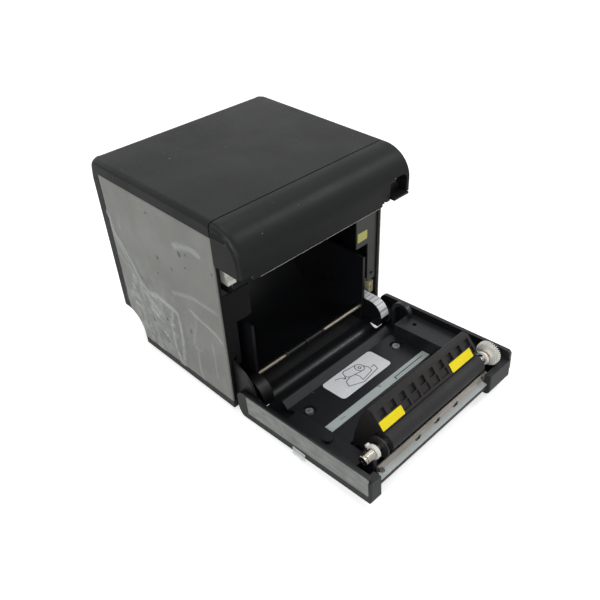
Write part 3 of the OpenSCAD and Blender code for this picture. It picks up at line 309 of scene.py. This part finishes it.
sameSpot = 0.00001               # corners closer than this, in metres, are one
cutSpot = 0.000002               # the same for a cut that runs through a corner
flatAngle = 0.008                # faces that meet at less than this, in radians, are one
shellSettings = {
    "sharpAngle": 28,            # edges sharper than this, in degrees, stay crisp
    "cuts": (0.12, 0.45, 0.95, 1.6, 2.3, 3.0, 3.7, 4.4, 5.2, 6.2),   # extra mesh lines near an edge
    "caseRadii": (5.2, 3.6, 1.2),  # top back edge, top side edges, upright back edges
    "cornerGrowth": 5.0,         # how much rounder the upright back edges get at the very top
    "cornerFade": 9.0,           # that growth ends this far below the top
    "cornerTighter": 0.8,        # how much tighter the top back edge turns at its two corners
    "seam": -0.587,              # between the covers and the cap
    "coverSeam": 0.01,           # points of a cover less than this behind the seam are on it
    "capSeam": 0.5,              # points of the cap less than this in front of it are too
    "seamLoss": 0.2,             # how far each side of the seam is broken back
    "skin": 0.7,                 # deeper than this the cap and the door are painted black, as shade
    "capSolid": (3.15, 3.0),     # centre of the rounding that the solid has, from the side and from the front
    "capLeft": 3.7,              # rounding of its left corner
    "capRight": (0.9, 2.7),      # rounding of its right corner in front, and its growth towards the top
    "top": 128.2,                # faces of the case
    "back": 107.613,
    "front": -21.387,
    "capCurve": 18.0,            # radius of the big curve over the cap
    "capLines": 19,              # extra mesh lines each way around that curve, 1 mm apart
    "doorLeft": (94.0, 1.9),     # length of the door on each side, and the rounding of its end
    "doorRight": (93.3, 2.8),
    "doorFoot": -8.1,
    "footRounder": 0.6,          # how much rounder the foot's edge is
    "paintedShadeTo": 87.0,             # the inside of the door is painted black as shade up to here
    "doorRim": 12.0,
    "rimReach": 4.0,             # the rim is rounded this near the right side
}


def openShell(nodeName):
    work = bmesh.new()
    work.from_mesh(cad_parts[nodeName].data)
    bmesh.ops.remove_doubles(work, verts=work.verts, dist=sameSpot)
    bmesh.ops.dissolve_limit(work, angle_limit=flatAngle, verts=work.verts, edges=work.edges)
    return work


def cutAcross(work, point, normal):
    parts = work.verts[:] + work.edges[:] + work.faces[:]
    bmesh.ops.bisect_plane(work, geom=parts, plane_co=point, plane_no=normal, dist=cutSpot)


def roundDepths(depths, radius):
    reach = [max(0, radius - depth) for depth in depths]
    length = math.sqrt(sum(r * r for r in reach))
    if length <= radius:
        return depths
    return [radius - r * radius / length if r > 0 else depth for r, depth in zip(reach, depths)]


def roundCase(nodeName, name, settings):
    work = openShell(nodeName)
    for cut in settings["cuts"]:
        for side in (-1, 1):
            cutAcross(work, casePoint(side * (caseHalf - cut), 0, 0), Vector((1, 0, 0)))
        cutAcross(work, casePoint(0, settings["back"] - cut, 0), Vector((0, 1, 0)))
        cutAcross(work, casePoint(0, 0, settings["top"] - cut), Vector((0, 0, 1)))
    backRadius, sideRadius, uprightRadius = settings["caseRadii"]
    for vert in work.verts:
        x, y, z = vert.co / mm
        inX, inY, inZ = caseHalf - abs(x), settings["back"] - y, settings["top"] - z
        cornerRadius = uprightRadius + settings["cornerGrowth"] * max(0, 1 - inZ / settings["cornerFade"])
        inX, inY = roundDepths((inX, inY), cornerRadius)
        cornerX, cornerY = (max(0, cornerRadius - depth) for depth in (inX, inY))
        inEdge = cornerRadius - math.hypot(cornerX, cornerY)
        if cornerX > 0 and cornerY > 0 and inZ < backRadius:
            newEdge, inZ = roundDepths((max(0, inEdge), inZ), backRadius - settings["cornerTighter"])
            shrink = max(0, cornerRadius - newEdge) / math.hypot(cornerX, cornerY)
            inX, inY = cornerRadius - cornerX * shrink, cornerRadius - cornerY * shrink
        else:
            inX, inZ = roundDepths((inX, inZ), sideRadius)
            inY, inZ = roundDepths((inY, inZ), backRadius)
        if y < settings["seam"] + settings["coverSeam"]:
            inY -= settings["seamLoss"]
        vert.co = casePoint(math.copysign(caseHalf - inX, x), settings["back"] - inY, settings["top"] - inZ)
    shell = addSmooth(name, work, caseCharcoal, "case", settings["sharpAngle"])
    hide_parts(nodeName)


def roundCap(settings):
    work = openShell("front_cap")
    front, top, curve = (settings[key] for key in ("front", "top", "capCurve"))
    solidX, solidIn = settings["capSolid"]
    least, growth = settings["capRight"]
    for cut in settings["cuts"][1:]:
        for side in (-1, 1):
            cutAcross(work, casePoint(side * (caseHalf - cut), 0, 0), Vector((1, 0, 0)))
    for step in range(1, settings["capLines"] + 1):
        cutAcross(work, casePoint(0, front + step, 0), Vector((0, 1, 0)))
        cutAcross(work, casePoint(0, 0, top - step), Vector((0, 0, 1)))
    for vert in work.verts:
        x, y, z = vert.co / mm
        outY, outZ = front + curve - y, z - top + curve
        if outY > 0 and outZ > 0:
            spoke = Vector((outY, outZ))
            depth = curve - spoke.length
            out = spoke.normalized()
        elif outZ <= 0:
            depth, out = y - front, Vector((1, 0))
        else:
            depth, out = top - z, Vector((0, 1))
        inX, inside = caseHalf - abs(x), depth
        reachX, reachIn = solidX - inX, solidIn - depth
        radius = settings["capLeft"] if x < 0 else least + growth * max(0, out.y) ** 2
        if x > 0 and reachX > 0 and reachIn > 0:
            fuller = math.hypot(reachX, reachIn) / max(reachX, reachIn)
            inX, inside = max(0, solidX - reachX * fuller), max(0, solidIn - reachIn * fuller)
        inX, inside = roundDepths((inX, inside), radius)
        push = inside - depth
        if y > settings["seam"] - settings["capSeam"]:
            y -= settings["seamLoss"]
        vert.co = casePoint(math.copysign(caseHalf - inX, x), y + out.x * push, z - out.y * push)
    work.normal_update()
    for face in work.faces:
        x, y, z = face.calc_center_median() / mm
        spoke = math.hypot(max(0, front + curve - y), max(0, z - top + curve))
        outer = min(caseHalf - abs(x), curve - spoke if y < front + curve else top - z)
        # faces deeper than a thin outer layer take the black second slot: painted shade inside the cap and its
        # pull pocket
        face.material_index = int(outer > settings["skin"])
    shell = addSmooth("capShell", work, caseCharcoal, "case", settings["sharpAngle"])
    shell.data.materials.append(workBlack)
    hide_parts("front_cap")


def roundDoor(settings):
    work = openShell("door_shell")
    alongAxis = Vector((0, -math.cos(doorTilt), math.sin(doorTilt)))
    upAxis = Vector((0, math.sin(doorTilt), math.cos(doorTilt)))
    for cut in settings["cuts"]:
        for side, key in ((-1, "doorLeft"), (1, "doorRight")):
            cutAcross(work, casePoint(side * (caseHalf - cut), 0, 0), Vector((1, 0, 0)))
            cutAcross(work, doorPoint(0, settings[key][0] - cut, 0), alongAxis)
        cutAcross(work, doorPoint(0, 0, settings["doorFoot"] + cut), upAxis)
        cutAcross(work, doorPoint(0, 0, settings["doorRim"] - cut), upAxis)
    hinge = casePoint(0, hingeY, hingeZ)
    for vert in work.verts:
        x = vert.co.x / mm
        along = (vert.co - hinge).dot(alongAxis) / mm
        up = (vert.co - hinge).dot(upAxis) / mm
        length, radius = settings["doorLeft" if x < 0 else "doorRight"]
        inX, inAlong = roundDepths((caseHalf - abs(x), length - along), radius)
        inAlong, inFoot = roundDepths((inAlong, up - settings["doorFoot"]), radius + settings["footRounder"])
        x, along, up = math.copysign(caseHalf - inX, x), length - inAlong, settings["doorFoot"] + inFoot
        if x > caseHalf - settings["rimReach"]:
            inAlong, inRim = roundDepths((length - along, settings["doorRim"] - up), radius)
            along, up = length - inAlong, settings["doorRim"] - inRim
        vert.co = doorPoint(x, along, up)
    work.normal_update()
    for face in work.faces:
        middle = face.calc_center_median()
        along = (middle - hinge).dot(alongAxis) / mm
        up = (middle - hinge).dot(upAxis) / mm
        outer = min(caseHalf - abs(middle.x / mm), settings["doorLeft"][0] - along, up - settings["doorFoot"])
        # faces deeper than a thin outer layer, up to the far end, take the black second slot: painted shade
        # inside the door and its trough
        face.material_index = int(outer > settings["skin"] and along < settings["paintedShadeTo"])
    shell = addSmooth("doorShell", work, doorCharcoal, "door", settings["sharpAngle"])
    shell.data.materials.append(bayBlack)
    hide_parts("door_shell")


roundCase("top_cover", "topShell", shellSettings)
roundCase("rear_cover", "rearShell", shellSettings)
roundCap(shellSettings)
roundDoor(shellSettings)
print("stage: shells")


# ---- turned pieces on the roller
rollerAxis = doorPoint(0, 83.6, 12.45)
turnedAngle = 24                 # their edges sharper than this, in degrees, stay crisp
gearSettings = {
    "teeth": 34,
    "tip": 7.66,
    "root": 6.4,
    "bore": 2.1,
    "from": 52.0,
    "to": 55.0,
    "flank": ((0.0, 0), (0.14, 0), (0.3, 1), (0.56, 1), (0.72, 0)),   # share of the pitch, 1 at the tip
    "brokenIn": 0.15,            # the broken edges of the teeth, in radius
    "brokenAlong": 0.2,          # and along the shaft
    "web": 5.6,                  # where the outer face ends below the teeth
    "hub": [(0, 5.7), (0.3, 5.4), (0.3, 3.4), (-0.1, 3.1), (-1.75, 2.85), (-1.75, 2.1)],   # inner face
}
shaftSettings = {
    "around": 48,
    "atEnd": [(0.1, 0.6), (-0.02, 0.7), (-0.02, 2.6), (0.3, 2.95), (1.2, 2.95), (1.25, 2.5), (1.7, 2.5),
              (1.75, 2.95)],     # distance from the solid shaft's end, radius
    "atStart": [(0.2, 2.95), (0.2, 2.12)],   # the same from the start of the bushes
    "inside": [(0.4, 2.12), (0.4, 0.6)],     # back to the shaft's end
}


def circleRing(radius, count):
    return [(radius, 2 * math.pi * i / count) for i in range(count)]


def toothRing(tip, root, teeth, flank):
    return [(tip if atTip else root, 2 * math.pi * (tooth + share) / teeth)
            for tooth in range(teeth) for share, atTip in flank]


def makeTurned(name, rings, material):
    work = bmesh.new()
    loops = []
    for x, ring in rings:
        loop = []
        for radius, angle in ring:
            y = rollerAxis.y + radius * mm * math.cos(angle)
            z = rollerAxis.z + radius * mm * math.sin(angle)
            loop.append(work.verts.new(Vector((x * mm, y, z))))
        loops.append(loop)
    for first, second in zip(loops, loops[1:] + loops[:1]):
        for i in range(len(first)):
            j = (i + 1) % len(first)
            work.faces.new((first[i], first[j], second[j], second[i]))
    bmesh.ops.recalc_face_normals(work, faces=work.faces)
    return addSmooth(name, work, material, "roller", turnedAngle)


def makeGear(settings):
    teeth, flank = settings["teeth"], settings["flank"]
    count = teeth * len(flank)
    tip, root, less = settings["tip"], settings["root"], settings["brokenIn"]
    full = toothRing(tip, root, teeth, flank)
    soft = toothRing(tip - less, root - less, teeth, flank)
    near, far, edge = settings["from"], settings["to"], settings["brokenAlong"]
    rings = [(far, circleRing(settings["bore"], count)), (far, circleRing(settings["web"], count)),
             (far, soft), (far - edge, full), (near + edge, full), (near, soft)]
    rings += [(near + offset, circleRing(radius, count)) for offset, radius in settings["hub"]]
    gear = makeTurned("rollerGear", rings, whiteNylon)
    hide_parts("platen_gear")


def makeShaftEnd(settings):
    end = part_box("platen_shaft")[0].x / mm
    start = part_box("bearing_bushes")[0].x / mm
    profile = [(end + offset, radius) for offset, radius in settings["atEnd"]]
    profile += [(start + offset, radius) for offset, radius in settings["atStart"]]
    profile += [(end + offset, radius) for offset, radius in settings["inside"]]
    rings = [(x, circleRing(radius, settings["around"])) for x, radius in profile]
    makeTurned("shaftEnd", rings, bushChrome)


makeGear(gearSettings)
makeShaftEnd(shaftSettings)
print("stage: turned pieces")


# ---- flat cable: white where it lies bare, black where its guide covers it
ribbonSplit = 13.0


def makeRibbon(split):
    work = openShell("flat_cable")
    cutAcross(work, casePoint(0, 0, split), Vector((0, 0, 1)))
    for face in work.faces:
        face.material_index = int(face.calc_center_median().z < split * mm)
    ribbon = addSmooth("flexRibbon", work, flexWhite, "case", shellSettings["sharpAngle"])
    ribbon.data.materials.append(workBlack)
    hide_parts("flat_cable")


makeRibbon(ribbonSplit)


# ---- clear film on the side panels
filmSettings = {
    "cell": 1.3,                 # size of the mesh cells in mm
    "rest": 0.12,                # gap to the panel where the film lies flat
    "drift": 0.22,               # height of the slow waves
    "crumple": 1.3,              # height of the small crumples near the lower back corner
    "crumpleAt": (72, 34, 30),   # middle and reach of that corner, y, z, radius
    "crumpleWaves": ((0.16, 3.7, 1.0), (0.4, 9.1, 0.6)),   # waves per mm, seed and share
    "driftWaves": (0.03, 0.045, 1.3),   # waves per mm along y and z, seed
    "foldHazeAndSheen": 0.75,            # how milky a fold is for its height, partly haze and partly a painted highlight on its ridge
    "foldReach": 3,              # how many half widths a fold reaches
    "outward": 0.9,              # a face that looks outward at least this much carries film
    "folds": [                   # each fold: height, half width, then its points as y, z
        (0.85, 1.3, [(99, 97), (97, 93), (96, 84), (91, 79), (84, 69), (76, 56), (69, 53), (56, 54), (49, 53),
                     (42, 51), (41, 41), (42, 27), (45, 10), (46, 4)]),
        (0.6, 1.1, [(98, 88), (97, 83), (90, 72), (84, 60), (76, 52), (67, 46), (62, 40)]),
        (0.5, 0.9, [(97, 69), (88, 62), (81, 55), (77, 48)]),
        (0.75, 1.2, [(62, 56), (55, 54), (47, 51), (51, 37), (51, 21), (48, 9), (48, 4)]),
        (0.6, 1.6, [(42, 66), (37, 68), (23, 72), (13, 72), (4, 72)]),
        (0.8, 1.3, [(27, 61), (25, 60), (16, 58), (7, 56), (1, 52)]),
        (0.5, 0.8, [(24, 60), (24, 52), (30, 38), (29, 33), (23, 33)]),
        (0.6, 1.0, [(27, 30), (28, 16), (26, 8)]),
        (0.55, 0.9, [(11, 45), (11, 33), (11, 20)]),
        (0.8, 2.2, [(32, 102), (26, 104), (17, 106), (11, 105)]),
        (0.5, 0.9, [(69, 23), (72, 13), (59, 17)]),
        (0.5, 0.9, [(85, 52), (93, 38)]),
        (0.35, 0.8, [(86, 101), (88, 89)]),
    ],
}


def fromSegment(point, start, end):
    along = end - start
    share = max(0, min(1, (point - start).dot(along) / along.length_squared))
    return (point - start - along * share).length


def foldHeight(point, settings):
    total = 0
    for height, halfWidth, points in settings["folds"]:
        spots = [Vector(p) for p in points]
        away = min(fromSegment(point, a, b) for a, b in zip(spots, spots[1:]))
        if away < halfWidth * settings["foldReach"]:
            total = max(total, height * math.exp(-(away / halfWidth) ** 2))
    return total


def seeded(*place):
    return noise.noise(Vector(place))


def makeFilm(side, nodeName, name, material, settings):
    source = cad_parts[nodeName].data
    sheet = bmesh.new()
    sheet.from_mesh(source)
    inner = [face for face in sheet.faces if face.normal.x * side < settings["outward"]]
    bmesh.ops.delete(sheet, geom=inner, context="FACES")
    bmesh.ops.remove_doubles(sheet, verts=sheet.verts, dist=sameSpot)
    bmesh.ops.dissolve_limit(sheet, angle_limit=flatAngle, verts=sheet.verts, edges=sheet.edges)
    low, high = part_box(nodeName)
    for axis in (1, 2):
        steps = int((high[axis] - low[axis]) / (settings["cell"] * mm))
        normal = Vector((0, axis == 1, axis == 2))
        for step in range(1, steps):
            spot = low + normal * (high[axis] - low[axis]) * step / steps
            parts = sheet.verts[:] + sheet.edges[:] + sheet.faces[:]
            bmesh.ops.bisect_plane(sheet, geom=parts, plane_co=spot, plane_no=normal)
    lift = sheet.verts.layers.float.new("fold")
    *middle, reach = settings["crumpleAt"]
    slowY, slowZ, slowSeed = settings["driftWaves"]
    for vert in sheet.verts:
        point = Vector((vert.co.y, vert.co.z)) / mm
        fold = foldHeight(point, settings)
        near = math.exp(-((point - Vector(middle)).length / reach) ** 2)
        small = sum(share * abs(seeded(point.x * rate, point.y * rate, seed * side))
                    for rate, seed, share in settings["crumpleWaves"])
        slow = 0.5 + 0.5 * seeded(point.x * slowY, point.y * slowZ, slowSeed * side)
        crumple = settings["crumple"] * small * near
        height = settings["rest"] + settings["drift"] * slow + fold + crumple
        # the milky share of each point comes from its fold and crumple heights: partly haze, partly a painted
        # highlight on the ridges
        vert[lift] = min(1, settings["foldHazeAndSheen"] * fold + crumple)
        vert.co.x = side * (caseHalf + height) * mm
    sheet.normal_update()
    for face in sheet.faces:
        face.smooth = True
    film = addFlat(name, sheet, material, "case")
    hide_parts(nodeName)


clearDefaults = {
    "colour": paint(208, 212, 208),
    "cloud": (60, 4),            # size per metre and detail of its cloudiness
    "cloudSpan": (0.35, 0.75),   # where the cloudiness starts and ends
    "lessClear": (0.05, 0.08),   # how far below and above its usual clearness it goes
    "foldSpan": (0.05, 0.8),     # height of a fold where its haze and painted highlight start, and where they are strongest
    "roughSpan": (0.3, 0.8),     # cloudiness at the smoothest and at the roughest
    "rough": (0.08, 0.22),
    "ripple": (260, 3),          # size per metre and detail of the fine ripples
    "rippleDepth": 0.0002,
}


def makeClearFilm(name, clear, hazeAndSheen, settings):
    material, nodes, links, shader, place = startMaterial(name)
    fold = nodes.new("ShaderNodeAttribute")
    fold.attribute_name = "fold"
    haze = addNoise(nodes, links, place, *settings["cloud"])
    clearer, cloudier = settings["lessClear"]
    hazeShare = addRange(nodes, links, haze, *settings["cloudSpan"], clear - clearer, clear + cloudier)
    # folds add milkiness on top of the cloudiness: partly haze, partly a painted highlight
    foldHazeAndSheenShare = addRange(nodes, links, fold.outputs["Fac"], *settings["foldSpan"], 0, hazeAndSheen)
    links.new(addMath(nodes, links, "ADD", hazeShare, foldHazeAndSheenShare), shader.inputs["Alpha"])
    shader.inputs["Base Color"].default_value = settings["colour"]
    roughness = addRange(nodes, links, haze, *settings["roughSpan"], *settings["rough"])
    links.new(roughness, shader.inputs["Roughness"])
    addBump(nodes, links, shader, addNoise(nodes, links, place, *settings["ripple"]), settings["rippleDepth"])
    return material


clearFilm = makeClearFilm("clearFilm", 0.1, 0.42, clearDefaults)
makeFilm(-1, "side_film_left", "sideFilmLeft", clearFilm, filmSettings)
makeFilm(1, "side_film_right", "sideFilmRight", clearFilm, filmSettings)


markSettings = {
    "around": 16,
    "uneven": 0.7,               # how far an outline strays from round
    "wander": 1.3,               # how often it does
    "seedStep": 3.1,
    "gap": 0.04,                 # to the panel
    "alpha": 0.55,
    "spots": [(56, 112, 1.2, 0.7), (53, 85, 1.2, 1.3), (56, 73, 0.8, 0.6), (40, 83, 0.6, 1.6),
              (30, 97, 1.2, 2.6), (26, 90, 1.0, 0.8), (24, 99, 0.7, 0.7), (2, 97, 0.8, 0.9),
              (56, 39, 1.1, 1.0), (32, 43, 0.8, 1.9), (72, 30, 1.4, 1.0)],   # y, z, half width, half height
}


def makeMarks(settings):
    work = bmesh.new()
    for number, (y, z, wide, tall) in enumerate(settings["spots"]):
        ring = []
        for step in range(settings["around"]):
            angle = 2 * math.pi * step / settings["around"]
            across, upward = math.cos(angle), math.sin(angle)
            turn = settings["wander"]
            reach = 1 + settings["uneven"] * seeded(across * turn, upward * turn, number * settings["seedStep"])
            spotY, spotZ = y + wide * reach * across, z + tall * reach * upward
            ring.append(work.verts.new(casePoint(-caseHalf - settings["gap"], spotY, spotZ)))
        work.faces.new(ring)
    markGrey = makeFinish("markGrey", (74, 75, 72), (52, 53, 50), rough=0.6)
    markGrey.node_tree.nodes["Principled BSDF"].inputs["Alpha"].default_value = settings["alpha"]
    addSmooth("panelMarks", work, markGrey, "case", shellSettings["sharpAngle"])


makeMarks(markSettings)
print("stage: films")


# ---- stickers and labels
sheetGap = 0.03                  # between a sticker and what it lies on
sheetThick = 0.1
inkThick = 0.02
inkOverlap = 0.35                # how far a stroke runs past its ends, as a share of its width


def roundedOutline(width, height, radius, steps=6):
    points = []
    for cornerX, cornerY, start in ((1, 1, 0), (-1, 1, 90), (-1, -1, 180), (1, -1, 270)):
        for step in range(steps + 1):
            angle = math.radians(start + 90 * step / steps)
            points.append((cornerX * (width / 2 - radius) + radius * math.cos(angle),
                           cornerY * (height / 2 - radius) + radius * math.sin(angle)))
    return points


def addSlab(work, upper, lower):
    work.faces.new(upper)
    work.faces.new(lower[::-1])
    for i in range(len(upper)):
        j = (i + 1) % len(upper)
        work.faces.new((upper[i], lower[i], lower[j], upper[j]))


def makePlate(name, outline, toWorld, material, body):
    work = bmesh.new()
    upper = [work.verts.new(toWorld(u, v, sheetThick)) for u, v in outline]
    lower = [work.verts.new(toWorld(u, v, 0)) for u, v in outline]
    addSlab(work, upper, lower)
    bmesh.ops.recalc_face_normals(work, faces=work.faces)
    addFlat(name, work, material, body)


def makeInk(name, lines, width, toWorld, lift):
    work = bmesh.new()
    for points in lines:
        spots = [Vector(p) for p in points]
        for start, end in zip(spots, spots[1:]):
            along = (end - start).normalized()
            across = Vector((-along.y, along.x)) * width / 2
            reach = along * width * inkOverlap
            before, after = start - reach, end + reach
            corners = (before + across, before - across, after - across, after + across)
            lower = [work.verts.new(toWorld(c.x, c.y, lift)) for c in corners]
            upper = [work.verts.new(toWorld(c.x, c.y, lift + inkThick)) for c in corners]
            addSlab(work, upper, lower)
    bmesh.ops.recalc_face_normals(work, faces=work.faces)
    addFlat(name, work, inkBlue, "door")


stickerYellow = makeFinish("stickerYellow", (244, 224, 30), (230, 210, 22), rough=0.35, grain=600)
stickerCorner = 0.5
stickers = {
    "guideStickerLeft": {"from": -41.2, "to": -23.4, "down": (7.0, 12.3)},
    "guideStickerRight": {"from": 18.9, "to": 38.5, "down": (6.9, 12.4)},
}
for name, sticker in stickers.items():
    left, right, (high, low) = sticker["from"], sticker["to"], sticker["down"]
    makePlate(name, roundedOutline(right - left, low - high, stickerCorner),
              lambda u, v, w: guidePoint((left + right) / 2 + u, (high + low) / 2 - v, sheetGap + w),
              stickerYellow, "door")

labelSettings = {
    "middle": (2.3, 24.45),
    "size": (44.0, 19.1),
    "corner": 2.6,
    "floor": -3.0,               # height of the trough's floor on the door
    "stroke": 0.46,
    "inkLift": 0.11,
}


def labelPoint(u, v, w):
    middleX, middleAlong = labelSettings["middle"]
    return doorPoint(middleX + u, middleAlong - v, labelSettings["floor"] + sheetGap + w)


labelPaper = makeFinish("labelPaper", (240, 242, 244), (230, 232, 235), rough=0.32, grain=500)
makePlate("loadingLabel", roundedOutline(*labelSettings["size"], labelSettings["corner"]), labelPoint,
          labelPaper, "door")


def arcPoints(centre, radius, start, end, steps, squeeze):
    angles = [math.radians(start + (end - start) * i / steps) for i in range(steps + 1)]
    return [(centre[0] + radius * squeeze * math.cos(a), centre[1] + radius * math.sin(a)) for a in angles]


inkBlue = makeFinish("inkBlue", (34, 38, 56), (26, 30, 46), rough=0.5)
pictogram = [
    arcPoints((5.5, 3.0), 3.4, 0, 360, 20, 0.8),            # front of the paper roll
    arcPoints((5.5, 3.0), 1.1, 0, 360, 12, 0.8),            # its core
    arcPoints((-3.5, 4.6), 3.4, 92, 268, 12, 0.8),          # back of the roll
    [(5.5, 6.4), (-3.5, 8.0)],
    [(5.5, -0.4), (-3.5, 1.2)],
    [(8.2, 2.8), (9.6, -1.0), (8.4, -4.6)],                 # the end of the paper hanging down
    [(-1.2, 1.0), (-0.4, -2.6), (-1.4, -6.2), (8.4, -4.6)],
    [(-9.5, 0.5), (-11.5, -3.8), (-2.4, -8.0), (12.2, -6.0), (13.4, -2.0), (10.4, -2.2)],   # the open door
    [(-9.5, 0.5), (-4.4, 1.6)],
    [(-13.0, 6.6), (-9.0, 5.0), (-7.4, 2.6)],               # the arrow that shows the way in
    [(-9.0, 3.1), (-7.4, 2.4), (-6.9, 4.2)],
]
makeInk("loadingPictogram", pictogram, labelSettings["stroke"], labelPoint, labelSettings["inkLift"])

tapeSettings = {
    "top": -2.59,                # height of the strip on the door's bed
    "inkLift": 0.01,
    "ticks": [[(-33.0, 43.2), (-33.0, 44.6)], [(-31.6, 43.2), (-31.6, 44.6)], [(-30.2, 43.2), (-30.2, 44.6)],
              [(1.2, 41.6), (3.4, 42.2)], [(2.2, 42.0), (2.6, 43.4)]],
    "tickStroke": 0.3,
    "frame": [[(14.4, 46.1), (14.6, 44.25)], [(14.6, 44.25), (41.0, 44.15)]],
    "frameStroke": 0.5,
}


def tapePoint(u, v, w):
    return doorPoint(u, v, w + tapeSettings["top"])


for name, lines, stroke in (("tapeTicks", "ticks", "tickStroke"), ("tapeFrame", "frame", "frameStroke")):
    makeInk(name, tapeSettings[lines], tapeSettings[stroke], tapePoint, tapeSettings["inkLift"])

wallLabelSettings = {"middle": (49.05, 68.25), "size": (8.9, 6.5), "corner": 0.6}


def wallPoint(u, v, w):
    middleX, middleZ = wallLabelSettings["middle"]
    return casePoint(middleX + u, flangeFace - sheetGap - w, middleZ + v)


wallPaper = makeFinish("wallPaper", (206, 200, 120), (190, 184, 104), rough=0.4, grain=500)
makePlate("wallLabel", roundedOutline(*wallLabelSettings["size"], wallLabelSettings["corner"]), wallPoint,
          wallPaper, "case")
print("stage: labels")


# ---- the loose corner of film on the door's left side
tabSettings = {
    "from": -61.0,
    "to": -51.5,
    "top": 8.6,
    "foot": 2.6,
    "floor": 0.3,                # it never reaches below this
    "cells": 16,
    "gap": 0.25,                 # to the door
    "edge": (3.1, 2.7, 5.5, 0.9),    # waves along and down, seed and size of its uneven edge
    "wave": 0.3,
    "waveTurns": (11, 5),        # along and down
    "small": (7, 2.2, 0.4),      # waves, seed and size of the small crumples
    "bottomFlare": 0.3,          # it lies closer to the door at the top
    "leastHazeAndSheen": 0.4,
    "clear": 0.55,
    "hazeAndSheen": 0.3,
}


def makeFilmTab(settings):
    work = bmesh.new()
    count = settings["cells"]
    edgeAlong, edgeDown, edgeSeed, edgeSize = settings["edge"]
    turnAlong, turnDown = settings["waveTurns"]
    rate, seed, size = settings["small"]
    lift = work.verts.layers.float.new("fold")
    rows = []
    for i in range(count + 1):
        row = []
        for j in range(count + 1):
            along, down = i / count, j / count
            edge = edgeSize * seeded(along * edgeAlong, down * edgeDown, edgeSeed)
            y = settings["from"] + (settings["to"] - settings["from"]) * along + edge
            z = settings["top"] + (settings["foot"] - settings["top"]) * down
            wave = settings["wave"] * (0.5 + 0.5 * math.sin(along * turnAlong + down * turnDown))
            wave += size * abs(seeded(along * rate, down * rate, seed))
            out = settings["gap"] + wave * (settings["bottomFlare"] + down)
            vert = work.verts.new(casePoint(-caseHalf - out, y, max(z, settings["floor"])))
            # the milky share grows with the waves: partly haze, partly a painted highlight on them
            vert[lift] = min(1, settings["leastHazeAndSheen"] + wave)
            row.append(vert)
        rows.append(row)
    for i in range(count):
        for j in range(count):
            work.faces.new((rows[i][j], rows[i][j + 1], rows[i + 1][j + 1], rows[i + 1][j])).smooth = True
    tabFilm = makeClearFilm("tabFilm", settings["clear"], settings["hazeAndSheen"], clearDefaults)
    addFlat("doorFilmTab", work, tabFilm, "door")


makeFilmTab(tabSettings)
print("stage: film tab")


# ---- floor, world and lamps
floorSettings = {
    "segments": 4,
    "size": 6,                   # half its width in metres
    "grey": 0.9,
    "rough": 0.9,
    "fade": (0.5, 2.5),          # distances between which its glow grows
    "glow": (0.55, 1),
}
worldStrength = 0.35


def makeFloor(settings):
    work = bmesh.new()
    segments = settings["segments"]
    bmesh.ops.create_grid(work, x_segments=segments, y_segments=segments, size=settings["size"])
    mesh = bpy.data.meshes.new("studioFloor")
    work.to_mesh(mesh)
    work.free()
    floor = bpy.data.objects.new("studioFloor", mesh)
    bpy.context.scene.collection.objects.link(floor)
    material, nodes, links, shader, place = startMaterial("floorWhite")
    shader.inputs["Base Color"].default_value = (settings["grey"], settings["grey"], settings["grey"], 1)
    shader.inputs["Roughness"].default_value = settings["rough"]
    shader.inputs["Specular IOR Level"].default_value = 0.0
    glow = nodes.new("ShaderNodeEmission")
    ray = nodes.new("ShaderNodeLightPath")
    add = nodes.new("ShaderNodeAddShader")
    distance = nodes.new("ShaderNodeVectorMath")
    distance.operation = "LENGTH"
    links.new(place, distance.inputs[0])
    level = addRange(nodes, links, distance.outputs["Value"], *settings["fade"], *settings["glow"])
    links.new(addMath(nodes, links, "MULTIPLY", ray.outputs["Is Camera Ray"], level), glow.inputs["Strength"])
    links.new(shader.outputs[0], add.inputs[0])
    links.new(glow.outputs[0], add.inputs[1])
    links.new(add.outputs[0], nodes["Material Output"].inputs["Surface"])
    floor.data.materials.append(material)


def makeWorld(strength):
    world = bpy.data.worlds.new("studioWorld")
    world.use_nodes = True
    nodes, links = world.node_tree.nodes, world.node_tree.links
    ray = nodes.new("ShaderNodeLightPath")
    seen = addMath(nodes, links, "MAXIMUM", ray.outputs["Is Camera Ray"], ray.outputs["Is Glossy Ray"])
    seen = addMath(nodes, links, "MAXIMUM", seen, ray.outputs["Is Transmission Ray"])
    links.new(addRange(nodes, links, seen, 0, 1, strength, 1), nodes["Background"].inputs["Strength"])
    nodes["Background"].inputs["Color"].default_value = (1, 1, 1, 1)
    bpy.context.scene.world = world


def makeLamp(name, place, target, size, power):
    data = bpy.data.lights.new(name, "AREA")
    data.size = size
    data.energy = power
    lamp = bpy.data.objects.new(name, data)
    lamp.location = place
    aim = Vector(target) - Vector(place)
    lamp.rotation_euler = aim.to_track_quat("-Z", "Y").to_euler()
    bpy.context.scene.collection.objects.link(lamp)


lamps = {
    "lampLeft": {"place": (-1.5, -0.7, 1.2), "target": (0, 0, 0.05), "size": 1.4, "power": 15},
    "lampTop": {"place": (0.2, 0.3, 1.9), "target": (0, 0, 0.1), "size": 1.2, "power": 10},
    "lampCurve": {"place": (1.0, -0.61, 1.21), "target": (0, -0.02, 0.12), "size": 0.35, "power": 5},
    "lampBay": {"place": (-0.5, -1.0, 0.4), "target": (0, 0.05, 0.06), "size": 0.3, "power": 1.2},
}
makeFloor(floorSettings)
makeWorld(worldStrength)
for name, lamp in lamps.items():
    makeLamp(name, **lamp)
bpy.context.scene.view_settings.view_transform = "Standard"
print("stage: floor, world and lamps")
